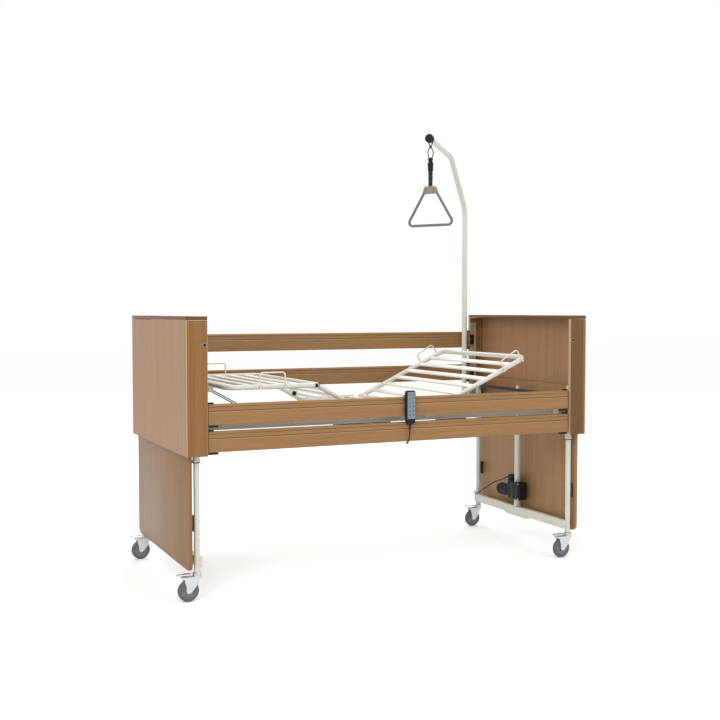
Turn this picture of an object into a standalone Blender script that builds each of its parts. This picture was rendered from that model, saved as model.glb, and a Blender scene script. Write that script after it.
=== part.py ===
import math

import bmesh
import bpy
from mathutils import Matrix, Vector

# ---- driving dimensions, metres; +X runs from the foot end to the head end ----
BED_LENGTH = 2.200
BED_WIDTH = 1.056
HALF_LENGTH = BED_LENGTH / 2
HALF_WIDTH = BED_WIDTH / 2
FIT = 0.0004                    # clearance left between two separate pieces

# end units: a shallow box of boards, open at the bottom and on the bed side
BOX_TOP = 1.310
BOX_BOTTOM = 0.673
BOARD = 0.018
CHEEK_DEPTH = 0.100
EDGE_ROUND = 0.004

# telescopic legs
LEG_INSET_X = 0.062
LEG_INSET_Y = 0.065
LEG_RADIUS = 0.014
LEG_BOTTOM = 0.1375
LEG_TOP = 0.930
SLEEVE_RADIUS = 0.017
SLEEVE_BORE = 0.0148
SLEEVE_BOTTOM = 0.638
COLLAR_RADIUS = 0.020
COLLAR_HEIGHT = 0.013
BEAM_BOTTOM = 0.868
BEAM_TOP = 0.884
BEAM_IN = 0.066
BEAM_OUT = 0.096
LOWER_BOARD_OUT = 0.0192
LOWER_BOARD_IN = 0.0342
LOWER_BOARD_INSET_Y = 0.038
LOWER_BOARD_BOTTOM = 0.141
LOWER_BOARD_TOP = 0.930
LOWER_BOARD_CORNER = 0.034

# lift drives
COLUMN_INSET_X = 0.081
COLUMN_RADIUS = 0.0165
COLUMN_BORE = 0.0098
COLUMN_BOTTOM = 0.1985
COLUMN_TOP = 0.636
LIFT_ROD_RADIUS = 0.009
LIFT_ROD_BOTTOM = 0.470

# mattress platform
TUBE = 0.0125
PLATFORM_Y = 0.443
HINGE_Z = 0.835
BACK_HINGE_X = 0.223
BACK_LENGTH = 0.600
BACK_ANGLE = math.radians(25.0)
THIGH_HINGE_X = -0.174
KNEE_X = -0.423
KNEE_Z = 0.976
CALF_END_X = -0.880
SLAT_WIDTH = 0.032
SLAT_THICK = 0.012
STRUT_PIVOT_X = -0.581
STRUT_PIVOT_Z = 0.796

# side rails
RAIL_HEIGHT = 0.098
RAIL_THICK = 0.024
RAIL_OUT_Y = 0.518
RAIL_END_X = 0.9965
RUNNER_END_X = 1.030
NEAR_UPPER_Z = 0.861
NEAR_LOWER_Z = 0.736
FAR_UPPER_Z = 1.157
FAR_LOWER_Z = 0.956

# castors
WHEEL_RADIUS = 0.050
WHEEL_WIDTH = 0.028
CASTOR_TRAIL = 0.042
AXLE_RADIUS = 0.004

# lifting pole
POLE_X = 0.9246
POLE_Y = 0.4486
POLE_RADIUS = 0.0155
ARM_DIRECTION = Vector((-math.cos(math.radians(45)), -math.sin(math.radians(45)), 0))

# grab handle, as drops below the pole's centre line
STRAP_FROM_TIP = 0.014
SLING_DROP = 0.104
SLING_RADIUS = 0.0028
PLATE_TOP_DROP = 0.251
PLATE_BOTTOM_DROP = 0.292
GRIP_TOP_DROP = 0.273
GRIP_BOTTOM_DROP = 0.462
GRIP_HALF_WIDTH = 0.144
GRIP_RADIUS = 0.0075

# handset
HANDSET_X = 0.034
HANDSET_WIDTH = 0.056
HANDSET_BOTTOM = 0.775
HANDSET_TOP = 0.941
HANDSET_BACK_Y = -0.5184
HANDSET_THICK = 0.026
CATCH_Z = 1.180
CATCH_INSET_X = 0.086

ENDS = {"foot": -1, "head": 1}
SIDES = {"near": -1, "far": 1}

for old in list(bpy.data.objects):
    bpy.data.objects.remove(old, do_unlink=True)

scene = bpy.context.scene
partCollection = bpy.data.collections.new("adjustable_hospital_bed")
cutterCollection = bpy.data.collections.new("cutters")
scene.collection.children.link(partCollection)
scene.collection.children.link(cutterCollection)

FINISHES = {
    "wood": ((0.42, 0.25, 0.12, 1.0), 0.0, 0.45),
    "cream": ((0.72, 0.69, 0.60, 1.0), 0.0, 0.35),
    "silver": ((0.62, 0.62, 0.62, 1.0), 1.0, 0.35),
    "black": ((0.02, 0.02, 0.022, 1.0), 0.0, 0.45),
    "grey": ((0.22, 0.24, 0.27, 1.0), 0.0, 0.50),
    "keys": ((0.30, 0.36, 0.42, 1.0), 0.0, 0.40),
    "tyre": ((0.06, 0.06, 0.065, 1.0), 0.0, 0.70),
    "webbing": ((0.015, 0.015, 0.015, 1.0), 0.0, 0.90),
    "dark": ((0.07, 0.06, 0.055, 1.0), 0.3, 0.50),
}


def make_material(node_name, finish):
    colour, metallic, roughness = FINISHES[finish]
    material = bpy.data.materials.new(node_name + "_" + finish)
    material.use_nodes = True
    shader = material.node_tree.nodes["Principled BSDF"]
    shader.inputs["Base Color"].default_value = colour
    shader.inputs["Metallic"].default_value = metallic
    shader.inputs["Roughness"].default_value = roughness
    return material


def helper_object(mesh):
    obj = bpy.data.objects.new("piece", mesh)
    cutterCollection.objects.link(obj)
    obj.hide_render = True
    obj.display_type = "WIRE"
    return obj


def mesh_object(bm):
    bmesh.ops.recalc_face_normals(bm, faces=bm.faces)
    mesh = bpy.data.meshes.new("piece")
    bm.to_mesh(mesh)
    bm.free()
    return helper_object(mesh)


def block(x0, x1, y0, y1, z0, z1, round_by=0.0, segments=2, pick=None):
    """Box between the given limits; edges chosen by pick (default all) are rounded."""
    bm = bmesh.new()
    bmesh.ops.create_cube(bm, size=1.0)
    centre = Vector(((x0 + x1) / 2, (y0 + y1) / 2, (z0 + z1) / 2))
    size = Vector((abs(x1 - x0), abs(y1 - y0), abs(z1 - z0)))
    for v in bm.verts:
        v.co = Vector((v.co.x * size.x, v.co.y * size.y, v.co.z * size.z)) + centre
    if round_by:
        edges = [e for e in bm.edges if pick is None or pick(e)]
        bmesh.ops.bevel(bm, geom=edges, offset=round_by, segments=segments, profile=0.5,
                        affect="EDGES")
    return mesh_object(bm)


def rod(start, end, radius, sides=16, end_radius=None):
    """Solid cylinder or cone between two points."""
    start = Vector(start)
    end = Vector(end)
    direction = end - start
    bm = bmesh.new()
    bmesh.ops.create_cone(bm, cap_ends=True, segments=sides, radius1=radius,
                          radius2=radius if end_radius is None else end_radius,
                          depth=direction.length)
    turn = Vector((0, 0, 1)).rotation_difference(direction).to_matrix().to_4x4()
    bm.transform(Matrix.Translation((start + end) / 2) @ turn)
    return mesh_object(bm)


def rounded_path(corners, radius, steps=4):
    """Corner points with every inner corner replaced by an arc."""
    corners = [Vector(c) for c in corners]
    path = [corners[0]]
    for before, corner, after in zip(corners, corners[1:], corners[2:]):
        a = (before - corner).normalized()
        b = (after - corner).normalized()
        half = a.angle(b) / 2
        reach = min(radius / math.tan(half), (before - corner).length * 0.49,
                    (after - corner).length * 0.49)
        centre = corner + (a + b).normalized() * (reach / math.cos(half))
        first = corner + a * reach - centre
        last = corner + b * reach - centre
        for step in range(steps + 1):
            t = step / steps
            path.append(centre + first.slerp(last, t) * first.length)
    path.append(corners[-1])
    return path


def smooth_path(points, spacing):
    """Points along a smooth curve through the given points, about spacing apart."""
    points = [Vector(p) for p in points]
    padded = [2 * points[0] - points[1]] + points + [2 * points[-1] - points[-2]]
    path = [points[0]]
    for i in range(1, len(padded) - 2):
        p0, p1, p2, p3 = padded[i - 1:i + 3]
        count = max(1, round((p2 - p1).length / spacing))
        for step in range(1, count + 1):
            t = step / count
            bend = (2 * p1 + (p2 - p0) * t + (2 * p0 - 5 * p1 + 4 * p2 - p3) * t * t
                    + (3 * p1 - p0 - 3 * p2 + p3) * t ** 3)
            path.append(bend / 2)
    return path


def wire_curve(name, path, radius, resolution=2):
    curve = bpy.data.curves.new(name, "CURVE")
    curve.dimensions = "3D"
    curve.bevel_depth = radius
    curve.bevel_resolution = resolution
    curve.use_fill_caps = True
    curve.twist_mode = "MINIMUM"
    spline = curve.splines.new("POLY")
    spline.points.add(len(path) - 1)
    for point, place in zip(spline.points, path):
        point.co = (*place, 1.0)
    return curve


def tube(path, radius, resolution=2):
    """A bent tube as a closed mesh, ready to be joined to other pieces."""
    holder = bpy.data.objects.new("tube", wire_curve("tube", path, radius, resolution))
    cutterCollection.objects.link(holder)
    depsgraph = bpy.context.evaluated_depsgraph_get()
    mesh = bpy.data.meshes.new_from_object(holder.evaluated_get(depsgraph))
    bpy.data.objects.remove(holder, do_unlink=True)
    bm = bmesh.new()
    bm.from_mesh(mesh)
    bmesh.ops.remove_doubles(bm, verts=bm.verts, dist=0.00002)
    return mesh_object(bm)


def fuse(name, finish, pieces, cuts=(), origin=(0, 0, 0)):
    """Join the pieces into one body, take the cuts away, and put its origin in place."""
    base = pieces[0]
    for operation, others in (("UNION", pieces[1:]), ("DIFFERENCE", list(cuts))):
        for other in others:
            modifier = base.modifiers.new(operation.lower(), "BOOLEAN")
            modifier.operation = operation
            modifier.solver = "EXACT"
            modifier.object = other
    depsgraph = bpy.context.evaluated_depsgraph_get()
    mesh = bpy.data.meshes.new_from_object(base.evaluated_get(depsgraph))
    for piece in list(pieces) + list(cuts):
        bpy.data.objects.remove(piece, do_unlink=True)
    bm = bmesh.new()
    bm.from_mesh(mesh)
    bmesh.ops.remove_doubles(bm, verts=bm.verts, dist=0.00002)
    bmesh.ops.dissolve_degenerate(bm, edges=bm.edges, dist=0.00002)
    bmesh.ops.triangulate(bm, faces=bm.faces)
    bm.transform(Matrix.Translation(-Vector(origin)))
    bm.to_mesh(mesh)
    bm.free()
    mesh.name = name
    mesh.materials.clear()
    mesh.materials.append(make_material(name, finish))
    obj = bpy.data.objects.new(name, mesh)
    obj.location = origin
    partCollection.objects.link(obj)
    return obj


def wire_node(name, finish, path, radius, origin=(0, 0, 0), resolution=2):
    shift = Vector(origin)
    curve = wire_curve(name, [p - shift for p in path], radius, resolution)
    curve.materials.append(make_material(name, finish))
    obj = bpy.data.objects.new(name, curve)
    obj.location = origin
    partCollection.objects.link(obj)
    return obj


def edge_runs(axis):
    def pick(edge):
        a, b = edge.verts
        return abs((a.co - b.co).normalized()[axis]) > 0.9
    return pick


# ---- end units -------------------------------------------------------------------
def end_x(side, inset):
    return side * (HALF_LENGTH - inset)


def slab(side, outer, inner, y0, y1, z0, z1, round_by=0.0, segments=2, pick=None):
    """Block placed by its distance in from the end of the bed."""
    x0, x1 = sorted((end_x(side, outer), end_x(side, inner)))
    return block(x0, x1, y0, y1, z0, z1, round_by, segments, pick)


for end, side in ENDS.items():
    fuse(end + "_panel", "wood",
         [slab(side, 0, BOARD, -HALF_WIDTH, HALF_WIDTH, BOX_BOTTOM, BOX_TOP - BOARD - FIT,
               EDGE_ROUND, 2, edge_runs(2))])
    fuse(end + "_cap", "wood",
         [slab(side, 0, CHEEK_DEPTH, -HALF_WIDTH, HALF_WIDTH, BOX_TOP - BOARD, BOX_TOP,
               EDGE_ROUND)])
    for name, sideY in SIDES.items():
        inner = sideY * (HALF_WIDTH - BOARD)
        outer = sideY * HALF_WIDTH
        catchX = end_x(side, CATCH_INSET_X)
        fuse(f"{end}_cheek_{name}", "wood",
             [slab(side, BOARD + FIT, CHEEK_DEPTH, min(inner, outer), max(inner, outer),
                   BOX_BOTTOM, BOX_TOP - BOARD - FIT)],
             [rod((catchX, inner - sideY * 0.01, CATCH_Z), (catchX, outer + sideY * 0.01, CATCH_Z),
                  0.0066)])
        # release catch: a button through the cheek, pressed towards the rail's runner
        fuse(f"{end}_catch_{name}", "black",
             [rod((catchX, inner + sideY * 0.0005, CATCH_Z),
                  (catchX, outer + sideY * 0.006, CATCH_Z), 0.006)],
             origin=(catchX, outer, CATCH_Z))

    legX = end_x(side, LEG_INSET_X)
    legY = HALF_WIDTH - LEG_INSET_Y
    columnX = end_x(side, COLUMN_INSET_X)
    # sleeves and the beam between them, held in the box
    sleeves = []
    bores = []
    for sideY in SIDES.values():
        y = sideY * legY
        sleeves.append(rod((legX, y, SLEEVE_BOTTOM + 0.004), (legX, y, BEAM_TOP), SLEEVE_RADIUS))
        sleeves.append(rod((legX, y, SLEEVE_BOTTOM), (legX, y, SLEEVE_BOTTOM + COLLAR_HEIGHT),
                           COLLAR_RADIUS))
        bores.append(rod((legX, y, SLEEVE_BOTTOM - 0.01), (legX, y, BEAM_TOP + 0.01), SLEEVE_BORE))
    bores.append(rod((columnX, 0, BEAM_BOTTOM - 0.01), (columnX, 0, BEAM_TOP + 0.01), 0.0093))
    beam = slab(side, BEAM_IN, BEAM_OUT, -legY, legY, BEAM_BOTTOM, BEAM_TOP)
    fuse(end + "_upper_frame", "cream", [beam] + sleeves, bores)
    fuse(end + "_lift_rod", "silver",
         [rod((columnX, 0, LIFT_ROD_BOTTOM), (columnX, 0, BEAM_TOP + 0.006), LIFT_ROD_RADIUS),
          rod((columnX, 0, BEAM_TOP + FIT), (columnX, 0, BEAM_TOP + 0.018), 0.015)])

    # leg frame: two tubes, a foot crossbar with its deeper middle, board brackets
    pieces = [slab(side, 0.060, 0.090, -legY, legY, 0.152, 0.198, 0.003, 1, edge_runs(1)),
              slab(side, 0.064, 0.086, -0.100, 0.100, 0.139, 0.160)]
    for sideY in SIDES.values():
        y = sideY * legY
        pieces.append(rod((legX, y, LEG_BOTTOM), (legX, y, LEG_TOP), LEG_RADIUS))
        for z in (0.358, 0.888):
            pieces.append(slab(side, LOWER_BOARD_IN + FIT, LEG_INSET_X, y - 0.011, y + 0.011,
                               z, z + 0.040))
    fuse(end + "_leg_frame", "cream", pieces, origin=(legX, 0, SLEEVE_BOTTOM))

    boardY = HALF_WIDTH - LOWER_BOARD_INSET_Y

    def bottom_corner(edge):
        a, b = edge.verts
        return max(a.co.z, b.co.z) < LOWER_BOARD_BOTTOM + 0.001 and abs(a.co.y - b.co.y) < 0.001
    fuse(end + "_lower_board", "wood",
         [slab(side, LOWER_BOARD_OUT, LOWER_BOARD_IN, -boardY, boardY, LOWER_BOARD_BOTTOM,
               LOWER_BOARD_TOP, LOWER_BOARD_CORNER, 6, bottom_corner)])

    fuse(end + "_lift_tube", "cream",
         [rod((columnX, 0, COLUMN_BOTTOM), (columnX, 0, COLUMN_TOP), COLUMN_RADIUS, 20)],
         [rod((columnX, 0, 0.215), (columnX, 0, COLUMN_TOP + 0.01), COLUMN_BORE)])
    fuse(end + "_lift_motor", "black",
         [slab(side, 0.053, 0.113, -0.064, 0.066, 0.240, 0.346, 0.010, 2),
          rod((columnX, 0.050, 0.279), (columnX, 0.176, 0.279), 0.035, 20),
          slab(side, 0.062, 0.100, 0.026, 0.070, 0.336, 0.378, 0.003, 1)],
         [rod((columnX, 0, 0.20), (columnX, 0, 0.40), COLUMN_RADIUS + FIT, 20)])

# ---- chassis frame: side members, cross members, seat slats, pole socket ----------------
CHASSIS_Z0 = 0.780
CHASSIS_Z1 = 0.816
MEMBER_Y = 0.418
members = []
for sideY in SIDES.values():
    y = sideY * MEMBER_Y
    members.append(block(-0.988, 0.988, y - 0.013, y + 0.013, CHASSIS_Z0, CHASSIS_Z1))
    for side in ENDS.values():
        x0, x1 = sorted((side * 0.960, end_x(side, LEG_INSET_X + SLEEVE_RADIUS + FIT)))
        legY = sideY * (HALF_WIDTH - LEG_INSET_Y)
        members.append(block(x0, x1, legY - 0.012, legY + 0.012, 0.784, 0.812))
for x in (-0.973, 0.973):
    members.append(block(x - 0.015, x + 0.015, -0.460, 0.460, CHASSIS_Z0 + 0.002, CHASSIS_Z1 - 0.002))
for x in (STRUT_PIVOT_X + 0.040, THIGH_HINGE_X + 0.040, BACK_HINGE_X - 0.040):
    members.append(block(x - 0.012, x + 0.012, -MEMBER_Y, MEMBER_Y, 0.786, 0.810))
for x in (-0.085, 0.034, 0.153):
    members.append(block(x - SLAT_WIDTH / 2, x + SLAT_WIDTH / 2, -PLATFORM_Y, PLATFORM_Y,
                         HINGE_Z - SLAT_THICK / 2, HINGE_Z + SLAT_THICK / 2, 0.005, 1, edge_runs(1)))
for sideY in SIDES.values():
    y = sideY * PLATFORM_Y
    members.append(tube([Vector((THIGH_HINGE_X + 0.055, y, HINGE_Z)),
                         Vector((BACK_HINGE_X - 0.055, y, HINGE_Z))], TUBE, 2))
    for x in (THIGH_HINGE_X + 0.080, BACK_HINGE_X - 0.080):
        members.append(block(x - 0.015, x + 0.015, y - sideY * 0.036, y, 0.800, HINGE_Z))
# strut bracket on its cross member, and the pole's socket at the head end
members.append(block(STRUT_PIVOT_X + 0.010, STRUT_PIVOT_X + 0.035, -0.012, 0.012, 0.790, 0.806))
members.append(rod((POLE_X, POLE_Y, 0.716), (POLE_X, POLE_Y, 0.838), 0.0215, 20))
members.append(block(POLE_X, 0.965, POLE_Y - 0.010, POLE_Y + 0.010, 0.786, 0.810))
socketBore = rod((POLE_X, POLE_Y, 0.728), (POLE_X, POLE_Y, 0.850), 0.0161, 20)
fuse("chassis_frame", "cream", members, [socketBore])

fuse("twin_drive", "black",
     [block(-0.130, 0.170, -0.055, 0.055, 0.712, 0.7796, 0.012, 2),
      rod((0.020, 0.030, 0.7455), (0.020, 0.150, 0.7455), 0.028, 16)])
fuse("control_box", "black",
     [block(0.300, 0.440, -0.395, -0.300, 0.735, 0.7796, 0.006, 2),
      block(0.300, 0.330, -0.400, -0.300, 0.760, 0.776)])


# ---- mattress platform sections ------------------------------------------------------
def platform_point(hinge, angle, along, y, lift=0.0):
    """Point at a distance along a section that leaves its hinge at the given angle."""
    return Vector((hinge[0] + along * math.cos(angle) - lift * math.sin(angle), y,
                   hinge[1] + along * math.sin(angle) + lift * math.cos(angle)))


def slat_at(hinge, angle, along, half_width):
    piece = block(-SLAT_WIDTH / 2, SLAT_WIDTH / 2, -half_width, half_width, -SLAT_THICK / 2,
                  SLAT_THICK / 2, 0.005, 1, edge_runs(1))
    place = platform_point(hinge, angle, along, 0)
    piece.data.transform(Matrix.Translation(place) @ Matrix.Rotation(-angle, 4, "Y"))
    return piece


backHinge = (BACK_HINGE_X, HINGE_Z)
backPath = [platform_point(backHinge, BACK_ANGLE, *spot) for spot in
            ((0.0, -PLATFORM_Y), (BACK_LENGTH, -PLATFORM_Y), (BACK_LENGTH, PLATFORM_Y),
             (0.0, PLATFORM_Y))]
pieces = [tube(rounded_path(backPath, 0.045), TUBE)]
pieces.append(rod((BACK_HINGE_X, -PLATFORM_Y - 0.012, HINGE_Z),
                  (BACK_HINGE_X, PLATFORM_Y + 0.012, HINGE_Z), TUBE + 0.0015, 16))
for i in range(6):
    pieces.append(slat_at(backHinge, BACK_ANGLE, 0.085 + i * 0.0855, PLATFORM_Y))
fuse("backrest_frame", "cream", pieces, origin=(BACK_HINGE_X, 0, HINGE_Z))

thighLength = math.hypot(THIGH_HINGE_X - KNEE_X, KNEE_Z - HINGE_Z)
thighAngle = math.atan2(KNEE_Z - HINGE_Z, KNEE_X - THIGH_HINGE_X)
thighHinge = (THIGH_HINGE_X, HINGE_Z)
THIGH_Y = PLATFORM_Y - 2 * TUBE - 0.0006
pieces = [rod((THIGH_HINGE_X, -THIGH_Y - 0.012, HINGE_Z), (THIGH_HINGE_X, THIGH_Y + 0.012, HINGE_Z),
              TUBE + 0.0015, 16)]
pieces.append(rod((KNEE_X, -THIGH_Y - 0.0115, KNEE_Z), (KNEE_X, THIGH_Y + 0.0115, KNEE_Z), TUBE, 16))
for sideY in SIDES.values():
    pieces.append(rod((THIGH_HINGE_X, sideY * THIGH_Y, HINGE_Z), (KNEE_X, sideY * THIGH_Y, KNEE_Z),
                      TUBE - 0.0008, 16))
for along in (0.085, 0.170, 0.235):
    pieces.append(slat_at(thighHinge, thighAngle, along, THIGH_Y))
fuse("thigh_frame", "cream", pieces, origin=(THIGH_HINGE_X, 0, HINGE_Z))

calfPath = [Vector((KNEE_X - 0.002, -PLATFORM_Y, KNEE_Z)), Vector((CALF_END_X, -PLATFORM_Y, KNEE_Z)),
            Vector((CALF_END_X, PLATFORM_Y, KNEE_Z)), Vector((KNEE_X - 0.002, PLATFORM_Y, KNEE_Z))]
pieces = [tube(rounded_path(calfPath, 0.060), TUBE)]
for i in range(5):
    x = KNEE_X - 0.072 - i * 0.082
    pieces.append(block(x - SLAT_WIDTH / 2, x + SLAT_WIDTH / 2, -PLATFORM_Y, PLATFORM_Y,
                        KNEE_Z - SLAT_THICK / 2, KNEE_Z + SLAT_THICK / 2, 0.005, 1, edge_runs(1)))
strutDx = KNEE_X - THIGH_HINGE_X
strutDz = KNEE_Z - HINGE_Z
strutTop = (STRUT_PIVOT_X + strutDx, STRUT_PIVOT_Z + strutDz)
for sideY in SIDES.values():
    y0, y1 = sorted((sideY * 0.0165, sideY * 0.0215))
    pieces.append(block(strutTop[0] - 0.014, strutTop[0] + 0.014, y0, y1, strutTop[1] - 0.012,
                        KNEE_Z))
pieces.append(block(strutTop[0] - 0.014, strutTop[0] + 0.014, -0.0215, 0.0215, KNEE_Z - 0.013,
                    KNEE_Z - 0.003))
pieces.append(block(strutTop[0] - 0.080, strutTop[0] + 0.080, -0.0215, 0.0215, KNEE_Z - 0.010,
                    KNEE_Z - 0.002))
pieces.append(block(-0.568, -0.524, -PLATFORM_Y + 0.002, -PLATFORM_Y + 0.007, 0.930, KNEE_Z))
fuse("calf_frame", "cream", pieces, origin=(KNEE_X, 0, KNEE_Z))

# strut: two thin rods side by side, with a round boss at each pivot
strutLow = Vector((STRUT_PIVOT_X, 0, STRUT_PIVOT_Z))
strutHigh = Vector((strutTop[0], 0, strutTop[1]))
bossReach = Vector((0, 0.015, 0))
strutPieces = [rod(spot - bossReach, spot + bossReach, 0.0085, 12) for spot in (strutLow, strutHigh)]
strutNormal = Vector((-strutDz, 0, strutDx)).normalized() * 0.0045
for shift in (strutNormal, -strutNormal):
    strutPieces.append(rod(strutLow + shift, strutHigh + shift, 0.0028, 8))
fuse("calf_strut", "dark", strutPieces, origin=(STRUT_PIVOT_X, 0, STRUT_PIVOT_Z))

# mattress retainer loops: bent wires standing beside the frames
RETAINER = 0.004
for name, sideY in SIDES.items():
    y = sideY * (PLATFORM_Y + TUBE + RETAINER + FIT)
    loop = [Vector((x, y, z)) for x, z in ((-0.724, KNEE_Z - 0.010), (-0.726, KNEE_Z + 0.068),
                                            (-0.600, KNEE_Z + 0.068), (-0.598, KNEE_Z - 0.010))]
    wire_node("calf_retainer_" + name, "cream", rounded_path(loop, 0.014), RETAINER,
              (KNEE_X, 0, KNEE_Z))
    loop = [platform_point(backHinge, BACK_ANGLE, along, y, lift) for along, lift in
            ((0.445, -0.010), (0.445, 0.052), (0.560, 0.064), (0.572, -0.010))]
    wire_node("back_retainer_" + name, "cream", rounded_path(loop, 0.014), RETAINER,
              (BACK_HINGE_X, 0, HINGE_Z))


# ---- castors --------------------------------------------------------------------------
for end, side in ENDS.items():
    for name, sideY in SIDES.items():
        x = end_x(side, LEG_INSET_X)
        y = sideY * (HALF_WIDTH - LEG_INSET_Y)
        axleX = x - CASTOR_TRAIL
        label = f"{end}_{name}"
        pieces = [rod((x, y, 0.105), (x, y, LEG_BOTTOM - 0.0006), 0.021, 20),
                  block(axleX - 0.036, x + 0.020, y - 0.0195, y + 0.0195, 0.1035, 0.1165, 0.004, 1)]
        for plate in (-1, 1):
            y0, y1 = sorted((y + plate * 0.0160, y + plate * 0.0195))
            pieces.append(block(axleX - 0.014, axleX + 0.034, y0, y1, 0.070, 0.112))
            pieces.append(block(axleX - 0.012, axleX + 0.012, y0, y1, 0.040, 0.075, 0.0015, 1))
        pieces.append(rod((axleX, y - 0.021, WHEEL_RADIUS), (axleX, y + 0.021, WHEEL_RADIUS),
                          AXLE_RADIUS, 12))
        fuse("castor_fork_" + label, "silver", pieces, origin=(x, y, LEG_BOTTOM))

        half = WHEEL_WIDTH / 2
        wheel = [rod((axleX, y - half + 0.004, WHEEL_RADIUS), (axleX, y + half - 0.004, WHEEL_RADIUS),
                     WHEEL_RADIUS, 28),
                 rod((axleX, y - half, WHEEL_RADIUS), (axleX, y + half, WHEEL_RADIUS),
                     WHEEL_RADIUS - 0.005, 28)]
        bore = rod((axleX, y - 0.03, WHEEL_RADIUS), (axleX, y + 0.03, WHEEL_RADIUS),
                   AXLE_RADIUS + 0.0004, 12)
        fuse("castor_wheel_" + label, "tyre", wheel, [bore], origin=(axleX, y, WHEEL_RADIUS))
        pivotX = x - 0.030
        fuse("castor_brake_" + label, "silver",
             [block(pivotX - 0.066, pivotX + 0.004, y - 0.015, y + 0.015, 0.1240, 0.1295, 0.002, 1),
              rod((pivotX, y - 0.015, 0.1245), (pivotX, y + 0.015, 0.1245), 0.0045, 12)],
             origin=(pivotX, y, 0.1245))


# ---- side rails -------------------------------------------------------------------------
RAILS = (("near_rail_upper", -1, NEAR_UPPER_Z),
         ("near_rail_lower", -1, NEAR_LOWER_Z),
         ("far_rail_upper", 1, FAR_UPPER_Z),
         ("far_rail_lower", 1, FAR_LOWER_Z))
for name, sideY, middle in RAILS:
    y0, y1 = sorted((sideY * RAIL_OUT_Y, sideY * (RAIL_OUT_Y - RAIL_THICK)))
    z0 = middle - RAIL_HEIGHT / 2
    z1 = middle + RAIL_HEIGHT / 2
    body = block(-RAIL_END_X, RAIL_END_X, y0, y1, z0, z1, 0.008, 3, edge_runs(0))
    grooves = [block(-1.1, 1.1, face - 0.002, face + 0.002, z1 - 0.036, z1 - 0.032)
               for face in (y0, y1)]
    runners = []
    for side in ENDS.values():
        x0, x1 = sorted((side * (RAIL_END_X - 0.020), side * RUNNER_END_X))
        ya, yb = sorted((sideY * 0.4965, sideY * 0.5055))
        runners.append(block(x0, x1, ya, yb, middle - 0.030, middle + 0.030))
    fuse(name, "wood", [body] + runners, grooves, origin=(0, sideY * RAIL_OUT_Y, middle))


# ---- lifting pole and grab handle -------------------------------------------------------
poleBottom = Vector((POLE_X, POLE_Y, 0.7290))
arm = ARM_DIRECTION
bendLow = Vector((POLE_X, POLE_Y, 1.950))
bendHigh = Vector((POLE_X, POLE_Y, 0)) + arm * 0.330 + Vector((0, 0, 2.222))
poleTip = Vector((POLE_X, POLE_Y, 0)) + arm * 0.770 + Vector((0, 0, 2.262))
wire_node("lifting_pole", "cream", rounded_path([poleBottom, bendLow, bendHigh, poleTip], 0.120, 6),
          POLE_RADIUS, (POLE_X, POLE_Y, 0.838), 3)
tipLine = (poleTip - bendHigh).normalized()
fuse("pole_end_cap", "black",
     [rod(poleTip + tipLine * FIT, poleTip + tipLine * 0.020, 0.024, 20)],
     origin=tuple(poleTip))

strapPoint = poleTip - tipLine * STRAP_FROM_TIP
strapX, strapY, strapZ = strapPoint
barLine = Vector((0.563, -0.827, 0)).normalized()
strapCentre = Vector((strapX, strapY, 0))


def strap_box(width, thick, drop_low, drop_high, top_share=1.0):
    """Block hanging under the pole between two drops; its top may be narrower."""
    piece = block(-width / 2, width / 2, -thick / 2, thick / 2, strapZ - drop_low,
                  strapZ - drop_high)
    middle = strapZ - (drop_low + drop_high) / 2
    for vertex in piece.data.vertices:
        if vertex.co.z > middle:
            vertex.co.x *= top_share
    turn = Matrix.Rotation(math.atan2(barLine.y, barLine.x), 4, "Z")
    piece.data.transform(Matrix.Translation(strapCentre) @ turn)
    return piece


# a cord sling laid over the pole carries the buckle and the strap
acrossPole = tipLine.cross(Vector((0, 0, 1))).normalized()
slingShape = ((-0.0045, -SLING_DROP), (-0.0170, -0.062), (-0.0195, -0.018), (-0.0195, 0.006),
              (-0.010, 0.0195), (0.010, 0.0195), (0.0195, 0.006), (0.0195, -0.018),
              (0.0170, -0.062), (0.0045, -SLING_DROP))
sling = [strapPoint + acrossPole * dx + Vector((0, 0, dz)) for dx, dz in slingShape]
strapPieces = [strap_box(0.022, 0.009, PLATE_TOP_DROP - 0.0004, SLING_DROP - 0.006),
               tube(sling, SLING_RADIUS, 1),
               strap_box(0.028, 0.016, 0.172, 0.098)]
fuse("handle_strap", "webbing", strapPieces, origin=tuple(strapPoint))

gripTop = strapZ - GRIP_TOP_DROP
gripBottom = strapZ - GRIP_BOTTOM_DROP
gripShape = ((0.0, gripTop), (-0.030, gripTop), (-GRIP_HALF_WIDTH, gripBottom),
             (GRIP_HALF_WIDTH, gripBottom), (0.030, gripTop), (0.0, gripTop))
grip = [strapCentre + barLine * dx + Vector((0, 0, dz)) for dx, dz in gripShape]
gripPath = rounded_path(grip, 0.020, 3)
# the plate over the top of the triangle widens downwards
gripPieces = [tube(gripPath[:-1], GRIP_RADIUS, 2),
              strap_box(0.094, 0.022, PLATE_BOTTOM_DROP, PLATE_TOP_DROP, 0.68)]
fuse("handle_grip", "grey", gripPieces, origin=tuple(strapPoint))


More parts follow.
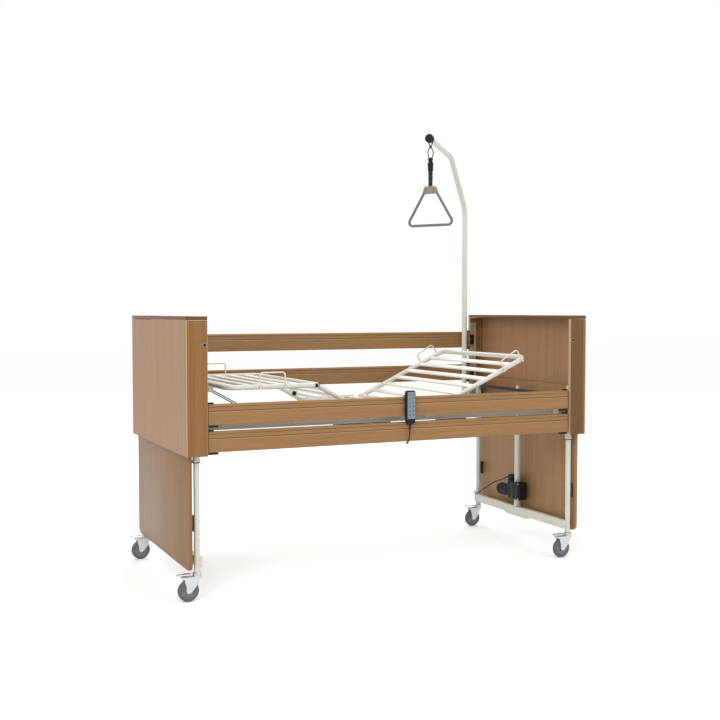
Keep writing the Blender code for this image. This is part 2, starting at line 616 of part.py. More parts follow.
# ---- handset ------------------------------------------------------------------------------
front = HANDSET_BACK_Y - HANDSET_THICK
railTop = NEAR_UPPER_Z + RAIL_HEIGHT / 2
body = block(HANDSET_X - HANDSET_WIDTH / 2, HANDSET_X + HANDSET_WIDTH / 2, front, HANDSET_BACK_Y,
             HANDSET_BOTTOM, HANDSET_TOP, 0.009, 2)
hook = [block(HANDSET_X - 0.018, HANDSET_X + 0.018, HANDSET_BACK_Y - 0.010, -0.4890, railTop + 0.0006,
              railTop + 0.0050),
        block(HANDSET_X - 0.018, HANDSET_X + 0.018, -0.4934, -0.4890, railTop - 0.022,
              railTop + 0.0050),
        rod((HANDSET_X, front + 0.013, HANDSET_BOTTOM + 0.006),
            (HANDSET_X - 0.002, front + 0.013, HANDSET_BOTTOM - 0.030), 0.0065, 12, 0.0042)]
fuse("handset", "black", [body] + hook, origin=(HANDSET_X, HANDSET_BACK_Y, HANDSET_TOP))
fuse("handset_keypad", "keys",
     [block(HANDSET_X - 0.022, HANDSET_X + 0.022, front - 0.0022, front - 0.0002,
            HANDSET_BOTTOM + 0.026, HANDSET_TOP - 0.006, 0.0009, 1)],
     origin=(HANDSET_X, front, HANDSET_TOP))

CORD_RADIUS = 0.0028
cordStart = Vector((HANDSET_X - 0.002, front + 0.013, HANDSET_BOTTOM - 0.0306))
cordRoute = [cordStart, (0.0295, -0.5316, 0.7150), (0.0260, -0.5290, 0.6880), (0.0260, -0.5180, 0.6765),
             (0.0300, -0.5020, 0.6745), (0.0450, -0.4800, 0.6810), (0.0900, -0.4560, 0.7000),
             (0.1600, -0.4480, 0.7200), (0.2350, -0.4460, 0.7480), (0.3050, -0.4300, 0.7660),
             (0.3150, -0.4012, 0.7680)]
wire_node("handset_cord", "black", smooth_path(cordRoute, 0.014), CORD_RADIUS)

leadInset = 0.118
leadRoute = [Vector((end_x(1, inset), y, z)) for inset, y, z in
             ((0.081, 0.0706, 0.362), (0.086, 0.094, 0.358), (0.100, 0.125, 0.340),
              (0.112, 0.200, 0.312),
              (leadInset, 0.300, 0.258), (0.112, 0.370, 0.226), (0.104, 0.425, 0.206),
              (0.096, 0.452, 0.186), (0.0805, 0.4606, 0.170))]
leadRoute[-1] = Vector((end_x(1, LEG_INSET_X + LEG_RADIUS + 0.0036), 0.463, 0.212))
leadRoute[-2] = Vector((end_x(1, 0.092), 0.455, 0.214))
wire_node("motor_lead", "black", smooth_path(leadRoute, 0.012), 0.0030)

# ---- put the row's origin under the middle of the whole part -------------------------------
ORIGIN_SHIFT = Vector((0.0170, 0.0063, 0.0))
for obj in partCollection.objects:
    obj.location += ORIGIN_SHIFT
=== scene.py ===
import bpy
import bmesh
import math
from mathutils import Matrix, Vector


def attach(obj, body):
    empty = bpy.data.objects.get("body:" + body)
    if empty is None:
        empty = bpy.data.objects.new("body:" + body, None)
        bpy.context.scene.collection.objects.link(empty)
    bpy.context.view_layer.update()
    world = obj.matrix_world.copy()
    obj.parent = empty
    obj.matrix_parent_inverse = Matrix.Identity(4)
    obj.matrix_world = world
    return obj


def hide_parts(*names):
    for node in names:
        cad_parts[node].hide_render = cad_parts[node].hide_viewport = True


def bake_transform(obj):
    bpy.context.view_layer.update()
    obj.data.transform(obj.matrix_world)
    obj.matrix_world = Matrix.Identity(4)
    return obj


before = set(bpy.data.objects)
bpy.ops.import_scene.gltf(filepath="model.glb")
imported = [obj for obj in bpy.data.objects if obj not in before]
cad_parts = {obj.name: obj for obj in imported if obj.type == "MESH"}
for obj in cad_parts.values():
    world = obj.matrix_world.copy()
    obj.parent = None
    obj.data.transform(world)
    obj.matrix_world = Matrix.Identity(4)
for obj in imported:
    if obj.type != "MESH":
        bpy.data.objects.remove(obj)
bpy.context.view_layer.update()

# everything below is written about the middle of the bed; makePiece moves it by this much
shift = Vector((0.017, 0.0063, 0.0))
halfLength = 1.1
halfWidth = 0.528
ends = {"foot": -1, "head": 1}
sides = {"near": -1, "far": 1}


# every add function adds to this mesh, and makePiece turns it into a piece and empties it
draft = bmesh.new()
up = (0, 0, 1)


# mesh helpers
def merge(other, turn=None):
    if turn is not None:
        other.transform(turn)
    mesh = bpy.data.meshes.new("temporary")
    other.to_mesh(mesh)
    other.free()
    draft.from_mesh(mesh)
    bpy.data.meshes.remove(mesh)


def bevel(build, edges, by, segments):
    bmesh.ops.bevel(build, geom=edges, offset=by, segments=segments, profile=0.5, affect="EDGES",
        material=-1)


def runsAlong(axis):
    return lambda edge: abs((edge.verts[0].co - edge.verts[1].co).normalized()[axis]) > 0.9


def sharpEdges(build):
    return [e for e in build.edges if len(e.link_faces) == 2 and e.calc_face_angle(0) > 1.2]


def addBox(lo, hi, roundBy=0.0, segments=2, pick=None, turn=None):
    box = bmesh.new()
    bmesh.ops.create_cube(box, size=1.0)
    lo, hi = Vector(map(min, lo, hi)), Vector(map(max, lo, hi))
    for v in box.verts:
        v.co = (lo + hi) / 2 + Vector(a * b for a, b in zip(v.co, hi - lo))
    if roundBy:
        bevel(box, [e for e in box.edges if pick is None or pick(e)], roundBy, segments)
    merge(box, turn)


def addLathe(start, axis, profile, steps=24):
    axis = Vector(axis).normalized()
    turned = bmesh.new()
    verts = [turned.verts.new((radius, 0, along)) for along, radius in profile]
    edges = [turned.edges.new(pair) for pair in zip(verts, verts[1:])]
    bmesh.ops.spin(turned, geom=verts + edges, cent=(0, 0, 0), axis=(0, 0, 1), steps=steps, angle=math.tau)
    bmesh.ops.remove_doubles(turned, verts=turned.verts, dist=0.00001)
    bmesh.ops.holes_fill(turned, edges=[e for e in turned.edges if e.is_boundary], sides=0)
    bmesh.ops.recalc_face_normals(turned, faces=turned.faces)
    place = Matrix.Translation(start) @ Vector((0, 0, 1)).rotation_difference(axis).to_matrix().to_4x4()
    merge(turned, place)


def addRod(start, end, radius, roundBy=0.0006, steps=24):
    start, end = Vector(start), Vector(end)
    length = (end - start).length
    cut = min(roundBy, radius * 0.45, length * 0.45)
    addLathe(start, end - start, [(0, 0), (0, radius - cut), (cut * 0.3, radius - cut * 0.3), (cut, radius),
        (length - cut, radius), (length - cut * 0.3, radius - cut * 0.3), (length, radius - cut), (length,
        0)], steps)


def around(count):
    return [math.tau * k / count for k in range(count)]


def closeRings(build, rings):
    for a, b in zip(rings, rings[1:]):
        for k in range(len(a)):
            build.faces.new((a[k - 1], a[k], b[k], b[k - 1]))
    build.faces.new(rings[0])
    build.faces.new(rings[-1])
    bmesh.ops.recalc_face_normals(build, faces=build.faces)


def addTube(path, radius, corners=16):
    path = [Vector(p) for p in path]
    swept = bmesh.new()
    rings = []
    tangent = (path[1] - path[0]).normalized()
    side = tangent.orthogonal().normalized()
    for i, place in enumerate(path):
        before = path[max(i - 1, 0)]
        after = path[min(i + 1, len(path) - 1)]
        following = (after - before).normalized()
        side = (tangent.rotation_difference(following) @ side).normalized()
        tangent = following
        lift = tangent.cross(side)
        rings.append([swept.verts.new(place + radius * (side * math.cos(a) + lift * math.sin(a)))
            for a in around(corners)])
    closeRings(swept, rings)
    merge(swept)


def addPrism(outline, push, roundBy=0.0):
    prism = bmesh.new()
    prism.faces.new([prism.verts.new(point) for point in outline])
    swept = bmesh.ops.extrude_face_region(prism, geom=list(prism.faces))
    moved = [v for v in swept["geom"] if isinstance(v, bmesh.types.BMVert)]
    bmesh.ops.translate(prism, verts=moved, vec=push)
    bmesh.ops.recalc_face_normals(prism, faces=prism.faces)
    if roundBy:
        bevel(prism, [e for e in prism.edges if runsAlong(1)(e)], roundBy, 3)
    merge(prism)


def addRing(centre, axis, ringRadius, wireRadius, steps=32, corners=10):
    circle = [(wireRadius * math.sin(math.tau * k / corners),
        ringRadius + wireRadius * math.cos(math.tau * k / corners)) for k in range(corners + 1)]
    addLathe(centre, axis, circle, steps)


def addHexBolt(centre, axis, size, height):
    axis = Vector(axis).normalized()
    addRod(centre, Vector(centre) + axis * height * 0.3, size * 0.75, height * 0.1, 20)
    head = bmesh.new()
    bmesh.ops.create_cone(head, cap_ends=True, segments=6, radius1=size * 0.55, radius2=size * 0.55,
        depth=height * 0.7)
    bevel(head, list(head.edges), height * 0.09, 1)
    turn = Vector((0, 0, 1)).rotation_difference(axis).to_matrix().to_4x4()
    merge(head, Matrix.Translation(Vector(centre) + axis * height * 0.65) @ turn)


def roundedPath(corners, radius, steps=8):
    corners = [Vector(c) for c in corners]
    path = [corners[0]]
    for before, corner, after in zip(corners, corners[1:], corners[2:]):
        a = (before - corner).normalized()
        b = (after - corner).normalized()
        half = a.angle(b) / 2
        reach = min(radius / math.tan(half), (before - corner).length * 0.49,
            (after - corner).length * 0.49)
        centre = corner + (a + b).normalized() * (reach / math.cos(half))
        first = corner + a * reach - centre
        last = corner + b * reach - centre
        path += [centre + first.slerp(last, s / steps) * first.length for s in range(steps + 1)]
    path.append(corners[-1])
    return path


def smoothPath(points, spacing):
    points = [Vector(p) for p in points]
    padded = [2 * points[0] - points[1]] + points + [2 * points[-1] - points[-2]]
    path = [points[0]]
    for i in range(1, len(padded) - 2):
        p0, p1, p2, p3 = padded[i - 1:i + 3]
        count = max(1, round((p2 - p1).length / spacing))
        for step in range(1, count + 1):
            t = step / count
            square = (2 * p0 - 5 * p1 + 4 * p2 - p3) * t * t
            path.append((2 * p1 + (p2 - p0) * t + square + (3 * p1 - p0 - 3 * p2 + p3) * t ** 3) / 2)
    return path


def squarish(value, power):
    return math.copysign(abs(value) ** power, value)


def ringProfile(half):
    return half + [(-along, radius) for along, radius in reversed(half)] + half[:1]


def makePiece(name, material, body, stands=(), sharp=35, blend=None):
    bmesh.ops.translate(draft, verts=draft.verts, vec=shift)
    mesh = bpy.data.meshes.new(name)
    draft.to_mesh(mesh)
    draft.clear()
    mesh.materials.append(material)
    mesh.polygons.foreach_set("use_smooth", [True] * len(mesh.polygons))
    mesh.set_sharp_from_angle(angle=math.radians(sharp))
    obj = bpy.data.objects.new(name, mesh)
    bpy.context.scene.collection.objects.link(obj)
    if blend:
        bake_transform(obj)
    else:
        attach(obj, body)
    if stands:
        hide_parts(*stands)
    return obj


# materials
def addNode(tree, kind, **settings):
    node = tree.nodes.new(kind)
    for key, value in settings.items():
        if hasattr(node, key):
            setattr(node, key, value)
        else:
            node.inputs[key.replace("_", " ")].default_value = value
    return node


def woodGroup():
    group = bpy.data.node_groups.new("woodGrain", "ShaderNodeTree")
    group.interface.new_socket("Vector", in_out="INPUT", socket_type="NodeSocketVector")
    source, sink = group.nodes.new("NodeGroupInput"), group.nodes.new("NodeGroupOutput")
    for label, scale, detail, distortion in (("Grain", 9.0, 6.0, 0.9), ("Pores", 60.0, 4.0, 0.2),
            ("Drift", 1.6, 2.0, 0.4)):
        group.interface.new_socket(label, in_out="OUTPUT", socket_type="NodeSocketFloat")
        texture = addNode(group, "ShaderNodeTexNoise", Scale=scale, Detail=detail, Distortion=distortion)
        group.links.new(source.outputs[0], texture.inputs["Vector"])
        group.links.new(texture.outputs["Fac"], sink.inputs[label])
    return group


woodShader = woodGroup()


def addBump(tree, shader, height, strength, distance):
    bump = addNode(tree, "ShaderNodeBump", Strength=strength, Distance=distance)
    tree.links.new(height, bump.inputs["Height"])
    tree.links.new(bump.outputs[0], shader.inputs["Normal"])


def mixColours(tree, mask, low, high, start=0.3, stop=0.7):
    ramp = tree.nodes.new("ShaderNodeValToRGB")
    ramp.color_ramp.elements[0].position = start
    ramp.color_ramp.elements[1].position = stop
    ramp.color_ramp.elements[0].color = (*low, 1)
    ramp.color_ramp.elements[1].color = (*high, 1)
    tree.links.new(mask, ramp.inputs["Fac"])
    return ramp.outputs["Color"]


def baseMaterial(name, roughness, metallic=0.0, colour=(0.5, 0.5, 0.5), coat=0.0):
    material = bpy.data.materials.new(name)
    material.use_nodes = True
    tree = material.node_tree
    shader = tree.nodes["Principled BSDF"]
    shader.inputs["Base Color"].default_value = (*colour, 1)
    shader.inputs["Roughness"].default_value = roughness
    shader.inputs["Metallic"].default_value = metallic
    shader.inputs["Coat Weight"].default_value = coat
    shader.inputs["Coat Roughness"].default_value = 0.25
    shader.inputs["Specular IOR Level"].default_value = 0.5 if max(colour) > 0.05 else 0.16
    return material, tree, shader


def woodMaterial(name, dark, light, stretch, tilt=0.0, roughness=0.42):
    material, tree, shader = baseMaterial(name, roughness, coat=0.02)
    shader.inputs["Specular IOR Level"].default_value = 0.22
    coordinates = tree.nodes.new("ShaderNodeTexCoord")
    mapping = addNode(tree, "ShaderNodeMapping")
    mapping.inputs["Scale"].default_value = stretch
    mapping.inputs["Rotation"].default_value = (tilt, tilt * 0.7, 0)
    tree.links.new(coordinates.outputs["Object"], mapping.inputs["Vector"])
    grain = tree.nodes.new("ShaderNodeGroup")
    grain.node_tree = woodShader
    tree.links.new(mapping.outputs[0], grain.inputs[0])
    wide = mixColours(tree, grain.outputs["Grain"], dark, light, 0.3, 0.72)
    drift = mixColours(tree, grain.outputs["Drift"], (0.9, 0.89, 0.87), (1.05, 1.04, 1.03), 0.3, 0.7)
    pores = mixColours(tree, grain.outputs["Pores"], (0.9, 0.87, 0.84), (1.0, 1.0, 1.0), 0.3, 0.52)
    result = wide
    for other in (drift, pores):
        multiply = addNode(tree, "ShaderNodeMix", data_type="RGBA", blend_type="MULTIPLY")
        multiply.inputs[0].default_value = 1.0
        tree.links.new(result, multiply.inputs[6])
        tree.links.new(other, multiply.inputs[7])
        result = multiply.outputs[2]
    tree.links.new(result, shader.inputs["Base Color"])
    addBump(tree, shader, grain.outputs["Pores"], 0.05, 0.001)
    return material


def noisyMaterial(name, colour, roughness, metallic=0.0, scale=400.0, bumpBy=0.08, spread=0.06, coat=0.0):
    material, tree, shader = baseMaterial(name, roughness, metallic, colour, coat)
    coordinates = tree.nodes.new("ShaderNodeTexCoord")
    fine = addNode(tree, "ShaderNodeTexNoise", Scale=scale, Detail=3.0)
    slow = addNode(tree, "ShaderNodeTexNoise", Scale=7.0, Detail=4.0)
    for texture in (fine, slow):
        tree.links.new(coordinates.outputs["Object"], texture.inputs["Vector"])
    dark = tuple(c * (1 - spread) for c in colour)
    light = tuple(min(1, c * (1 + spread)) for c in colour)
    tree.links.new(mixColours(tree, slow.outputs["Fac"], dark, light), shader.inputs["Base Color"])
    gloss = addNode(tree, "ShaderNodeMapRange", To_Min=roughness * 0.85, To_Max=min(1, roughness * 1.2))
    tree.links.new(slow.outputs["Fac"], gloss.inputs["Value"])
    tree.links.new(gloss.outputs[0], shader.inputs["Roughness"])
    addBump(tree, shader, fine.outputs["Fac"], bumpBy, 0.0006)
    return material


def webbingMaterial():
    material, tree, shader = baseMaterial("webbing", 0.85, 0.0, (0.02, 0.02, 0.022))
    coordinates = tree.nodes.new("ShaderNodeTexCoord")
    wave = addNode(tree, "ShaderNodeTexWave", wave_type="BANDS", bands_direction="Z", Scale=160.0,
        Distortion=1.5)
    tree.links.new(coordinates.outputs["Object"], wave.inputs["Vector"])
    tree.links.new(mixColours(tree, wave.outputs["Fac"], (0.012, 0.012, 0.013), (0.045, 0.045, 0.048)),
        shader.inputs["Base Color"])
    addBump(tree, shader, wave.outputs["Fac"], 0.5, 0.0008)
    return material


upGrain, alongGrain = (22.0, 22.0, 0.7), (0.7, 22.0, 22.0)
woodColours = {
    "panel": ((0.272, 0.142, 0.066), (0.318, 0.168, 0.08), upGrain),
    "cheek": ((0.2, 0.098, 0.028), (0.245, 0.122, 0.037), upGrain),
    # shaded: the cheek wood darkened for the head end's near cheek, painted shade
    "shaded": ((0.12, 0.056, 0.016), (0.15, 0.072, 0.022), upGrain),
    "rail": ((0.24, 0.128, 0.05), (0.29, 0.16, 0.068), alongGrain),
    # the two lower-board entries are one wood: the foot one darkened as painted shade, the head one
    # lightened as painted light
    "lowerFootShaded": ((0.205, 0.106, 0.038), (0.24, 0.126, 0.048), upGrain),
    "lowerHeadLit": ((0.255, 0.14, 0.06), (0.3, 0.168, 0.074), upGrain),
    # edge: pale wood for the lipping, whose lightness is partly a painted highlight on the rounded corners,
    # and for the pale strips on the rails, which are painted highlights
    "edge": ((0.4, 0.25, 0.15), (0.47, 0.3, 0.185), upGrain),
    "cap": ((0.118, 0.048, 0.014), (0.142, 0.06, 0.02), (22.0, 0.7, 22.0)),
    # groove: near-black wood for the strips laid in the rails' grooves, painted shadow
    "groove": ((0.07, 0.035, 0.015), (0.1, 0.052, 0.024), alongGrain),
}
wood = {key: woodMaterial("beech_" + key, *values) for key, values in woodColours.items()}
cream = noisyMaterial("cream_coat", (0.52, 0.51, 0.455), 0.36, scale=700, bumpBy=0.05, spread=0.03,
    coat=0.15)
slatCoat = noisyMaterial("slat_coat", (0.62, 0.6, 0.53), 0.4, scale=700, bumpBy=0.05, spread=0.03, coat=0.1)
zinc = noisyMaterial("zinc", (0.56, 0.57, 0.58), 0.36, 0.85, scale=260, bumpBy=0.12, spread=0.1)
steel = noisyMaterial("bright_steel", (0.66, 0.66, 0.67), 0.22, 1.0, scale=300, bumpBy=0.04)
aluminium = noisyMaterial("guide_aluminium", (0.6, 0.57, 0.5), 0.34, 0.8, scale=300, bumpBy=0.05)
blackPlastic = noisyMaterial("black_plastic", (0.01, 0.01, 0.012), 0.42, scale=900, bumpBy=0.2)
softBlack = noisyMaterial("soft_black", (0.014, 0.014, 0.016), 0.6, scale=500, bumpBy=0.15)
# dark steel; on the end units' cross beams its darkness is also painted shade
darkSteel = noisyMaterial("dark_steel", (0.045, 0.04, 0.034), 0.45, 0.4, scale=300, bumpBy=0.1)
gripPlastic = noisyMaterial("grip_plastic", (0.115, 0.112, 0.106), 0.46, scale=500, bumpBy=0.12)
platePlastic = noisyMaterial("plate_plastic", (0.19, 0.165, 0.13), 0.52, scale=500, bumpBy=0.12,
    spread=0.15)
greyPlastic = noisyMaterial("grey_plastic", (0.22, 0.23, 0.24), 0.5, scale=500, bumpBy=0.12)
tyreRubber = noisyMaterial("tyre_rubber", (0.085, 0.09, 0.098), 0.66, scale=340, bumpBy=0.25, spread=0.15)
hubPlastic = noisyMaterial("hub_plastic", (0.19, 0.195, 0.2), 0.55, scale=400, bumpBy=0.12)
foil = noisyMaterial("keypad_foil", (0.15, 0.185, 0.225), 0.36, scale=600, bumpBy=0.04)
iconInk = noisyMaterial("icon_ink", (0.035, 0.045, 0.07), 0.45, scale=600, bumpBy=0.02)
lampGreen = noisyMaterial("indicator", (0.1, 0.45, 0.14), 0.3, scale=600, bumpBy=0.02)
webbing = webbingMaterial()
print("materials done")

# camera, light and floor
scene = bpy.context.scene
cameraSettings = {"place": (-2.3993, -5.1418, 1.3349), "yaw": 25.0912, "pitch": 2.6693, "lens": 52.779}
cameraData = bpy.data.cameras.new("camera")
cameraData.sensor_width = 36.0
cameraData.lens = cameraSettings["lens"]
cameraData.clip_start = 0.05
camera = bpy.data.objects.new("camera", cameraData)
camera.location = Vector(cameraSettings["place"]) + shift
camera.rotation_euler = (math.radians(90 - cameraSettings["pitch"]), 0,
    math.radians(-cameraSettings["yaw"]))
scene.collection.objects.link(camera)
scene.camera = camera
scene.render.resolution_x = 1440
scene.render.resolution_y = 1440

floorMesh = bpy.data.meshes.new("floor")
floorBuild = bmesh.new()
bmesh.ops.create_grid(floorBuild, x_segments=1, y_segments=1, size=30.0)
bmesh.ops.translate(floorBuild, verts=floorBuild.verts, vec=(0, 0, -0.0005))
floorBuild.to_mesh(floorMesh)
floorBuild.free()
floor = bpy.data.objects.new("floor", floorMesh)
floorMaterial, _, floorShader = baseMaterial("pale_floor", 1.0, 0.0, (0.985, 0.985, 0.985))
floorShader.inputs["Specular IOR Level"].default_value = 0.0
floorMesh.materials.append(floorMaterial)
scene.collection.objects.link(floor)

world = bpy.data.worlds.new("studio")
scene.world = world
world.use_nodes = True
world.node_tree.nodes["Background"].inputs["Color"].default_value = (1.0, 1.0, 1.0, 1)
world.node_tree.nodes["Background"].inputs["Strength"].default_value = 1.0
lights = {
    "key": ((-3.4, -4.2, 4.2), 3.0, 125, (1.0, 0.985, 0.96)),
    "fill": ((3.6, -4.6, 2.6), 3.5, 30, (1.0, 0.99, 0.97)),
    "top": ((0.2, 0.4, 4.6), 3.5, 70, (1.0, 1.0, 1.0)),
    "back": ((1.5, 4.6, 3.4), 3.0, 40, (1.0, 1.0, 1.0)),
}
for name, (place, size, power, colour) in lights.items():
    data = bpy.data.lights.new(name, "AREA")
    data.size = size
    data.energy = power
    data.color = colour
    lamp = bpy.data.objects.new(name, data)
    lamp.location = place
    lamp.rotation_euler = (Vector((0, 0, 0.8)) - Vector(place)).to_track_quat("-Z", "Y").to_euler()
    scene.collection.objects.link(lamp)
scene.view_settings.view_transform = "Standard"
print("camera and light done")

# handset cord
handset = {"x": 0.034, "width": 0.056, "bottom": 0.775, "top": 0.941, "backY": -0.5184, "thick": 0.026}
frontY = handset["backY"] - handset["thick"]
cordRadius = 0.0028
cordStart = (handset["x"] - 0.002, frontY + 0.013, handset["bottom"] - 0.0306)
cordRoute = [cordStart,  # from the strain relief down, round under the rail and in to the chassis
             (0.0295, -0.5316, 0.715), (0.026, -0.529, 0.688), (0.026, -0.518, 0.6765),
             (0.03, -0.502, 0.6745), (0.045, -0.48, 0.681), (0.09, -0.456, 0.7),
             (0.16, -0.448, 0.72), (0.235, -0.446, 0.748), (0.305, -0.43, 0.766),
             (0.315, -0.4012, 0.768)]
cordPath = smoothPath(cordRoute, 0.007)
addTube(cordPath, cordRadius, 12)
handsetCord = makePiece("handset_cable", softBlack, None, ["handset_cord"],
    blend=("near_rail_upper", "chassis", tuple(cordPath[0] + shift),
    tuple(Vector((0.0848, -0.4643, 0.7022)) + shift)))

# the head motor's lead, tied along the leg frame
leadRoute = [(halfLength - inset, y, z) for inset, y,
    z in ((0.081, 0.0706, 0.362), (0.086, 0.094, 0.358), (0.1, 0.125, 0.34), (0.112, 0.2, 0.312),
    (0.118, 0.3, 0.258), (0.112, 0.37, 0.226), (0.104, 0.425, 0.206), (0.092, 0.455, 0.214), (0.0796, 0.463,
    0.212))]
addTube(smoothPath(leadRoute, 0.006), 0.003, 12)
makePiece("head_motor_cable", softBlack, "head_legs", ["motor_lead"])
print("cords done")

# end units
boxTop, boxBottom, board, cheekDepth, lipping = 1.31, 0.673, 0.018, 0.1, 0.0052
boardTop = boxTop - board - 0.0012
catchInset, catchZ = 0.086, 1.18
channelBottom, channelTop = 0.682, 1.262


def endX(side, inset):
    return side * (halfLength - inset)


def screwCap(centre, axis, radius=0.006, height=0.0016):
    addLathe(centre, axis, [(0, 0), (0, radius), (height * 0.5, radius * 0.97), (height, radius * 0.7),
        (height, radius * 0.35), (height * 0.5, radius * 0.3), (height * 0.5, 0)], 20)


def addHoledPlate(lo, hi, holeX, holeZ, radius, steps=24):
    # upright plate with a round hole through it, in the x-z plane
    plate = bmesh.new()
    loops = []
    for y in (lo[1], hi[1]):
        outer = [plate.verts.new((x, y, z)) for x,
            z in ((lo[0], lo[2]), (hi[0], lo[2]), (hi[0], hi[2]), (lo[0], hi[2]))]
        inner = [plate.verts.new((holeX + radius * math.cos(a), y, holeZ + radius * math.sin(a)))
            for a in around(steps)]
        edges = [plate.edges.new((ring[k - 1], ring[k])) for ring in (outer, inner)
            for k in range(len(ring))]
        bmesh.ops.triangle_fill(plate, edges=edges, use_beauty=True)
        loops.append((outer, inner))
    for first, second in zip(*loops):
        for k in range(len(first)):
            plate.faces.new((first[k - 1], first[k], second[k], second[k - 1]))
    bmesh.ops.recalc_face_normals(plate, faces=plate.faces)
    merge(plate)


for end, side in ends.items():
    # outer panel, its lipping strips and the shadow gap under the cap
    addBox((endX(side, 0.0005), -halfWidth + 0.005, boxBottom),
        (endX(side, board), halfWidth - 0.005, boardTop))
    makePiece(end + "_panel_board", wood["panel"], "chassis", [end + "_panel"])
    # the lipping is pale edge wood, its lightness partly a painted highlight on the rounded corners
    for sideY in sides.values():
        addBox((endX(side, 0.0), sideY * (halfWidth - lipping), boxBottom),
            (endX(side, lipping), sideY * halfWidth, boardTop), 0.0024, 3, runsAlong(2))
    makePiece(end + "_panel_lipping", wood["edge"], "chassis")
    for sideY in sides.values():
        addBox((endX(side, lipping), sideY * (halfWidth - lipping), boxBottom),
            (endX(side, board), sideY * (halfWidth - 0.0001), boardTop))
    makePiece(end + "_panel_edges", wood["cheek"], "chassis")
    addBox((endX(side, 0.0), -halfWidth, boxTop - board), (endX(side, cheekDepth), halfWidth, boxTop),
        0.0035, 4)
    makePiece(end + "_cap_board", wood["cap"], "chassis", [end + "_cap"])
    for name, sideY in sides.items():
        outer = sideY * halfWidth
        inner = sideY * (halfWidth - board)
        catchX = endX(side, catchInset)
        addHoledPlate((endX(side, board + 0.0008), inner, boxBottom),
            (endX(side, cheekDepth - 0.0024), outer, boardTop), catchX, catchZ, 0.0066)
        # the head end's near cheek takes the darker copy of the cheek wood as painted shade
        makePiece(f"{end}_cheek_board_{name}", wood["shaded" if side > 0 and sideY < 0 else "cheek"],
            "chassis", [f"{end}_cheek_{name}"])
        # the cheek's front lipping in the same pale edge wood, partly a painted highlight
        addBox((endX(side, cheekDepth - 0.0022), inner, boxBottom),
            (endX(side, cheekDepth), outer, boardTop), 0.0008, 2)
        makePiece(f"{end}_cheek_lipping_{name}", wood["edge"], "chassis")
        # catch: collar, sprung button with a dished face
        addLathe((catchX, outer - sideY * 0.001, catchZ), (0, sideY, 0),
            [(0, 0.0064), (0, 0.0098), (0.0022, 0.0094), (0.0026, 0.0084), (0.0024, 0.0068),
            (0, 0.0064)], 28)
        makePiece(f"{end}_catch_collar_{name}", greyPlastic, "chassis")
        addLathe((catchX, inner + sideY * 0.0005, catchZ), (0, sideY, 0),
            [(0, 0), (0, 0.0056), (0.0004, 0.006), (0.0226, 0.006), (0.0235, 0.0052), (0.0233, 0.0036),
            (0.0226, 0)], 24)
        makePiece(f"{end}_catch_button_{name}", blackPlastic, f"catch_{end}_{name}",
            [f"{end}_catch_{name}"])
        # guide channel for the rails' runners, screwed behind the cheek
        x0, x1 = endX(side, cheekDepth - 0.0015), endX(side, cheekDepth - 0.034)
        addHoledPlate((x0, inner - sideY * 0.0002, channelBottom), (x1, inner - sideY * 0.0018, channelTop),
            catchX, catchZ, 0.0072)
        addBox((x1, inner - sideY * 0.0002, channelBottom),
            (x1 + side * 0.0016, inner - sideY * 0.0165, channelTop))
        addBox((x1, inner - sideY * 0.0149, channelBottom),
            (x1 - side * 0.012, inner - sideY * 0.0165, channelTop))
        makePiece(f"{end}_guide_channel_{name}", aluminium, "chassis")
        # screws that hold the cheek to the panel
        for z in (0.73, 0.99, 1.25):
            screwCap((endX(side, 0.056), inner, z), (0, -sideY, 0), 0.007, 0.002)
        makePiece(f"{end}_cheek_screws_{name}", zinc, "chassis")

    # corner battens inside the box
    for sideY in sides.values():
        addBox((endX(side, board + 0.0008), sideY * (halfWidth - board - 0.0002), boxBottom + 0.012),
            (endX(side, board + 0.015), sideY * (halfWidth - board - 0.015),
            boxTop - board - 0.002), 0.002, 2)
    makePiece(end + "_corner_battens", wood["cheek"], "chassis")
print("end units done")


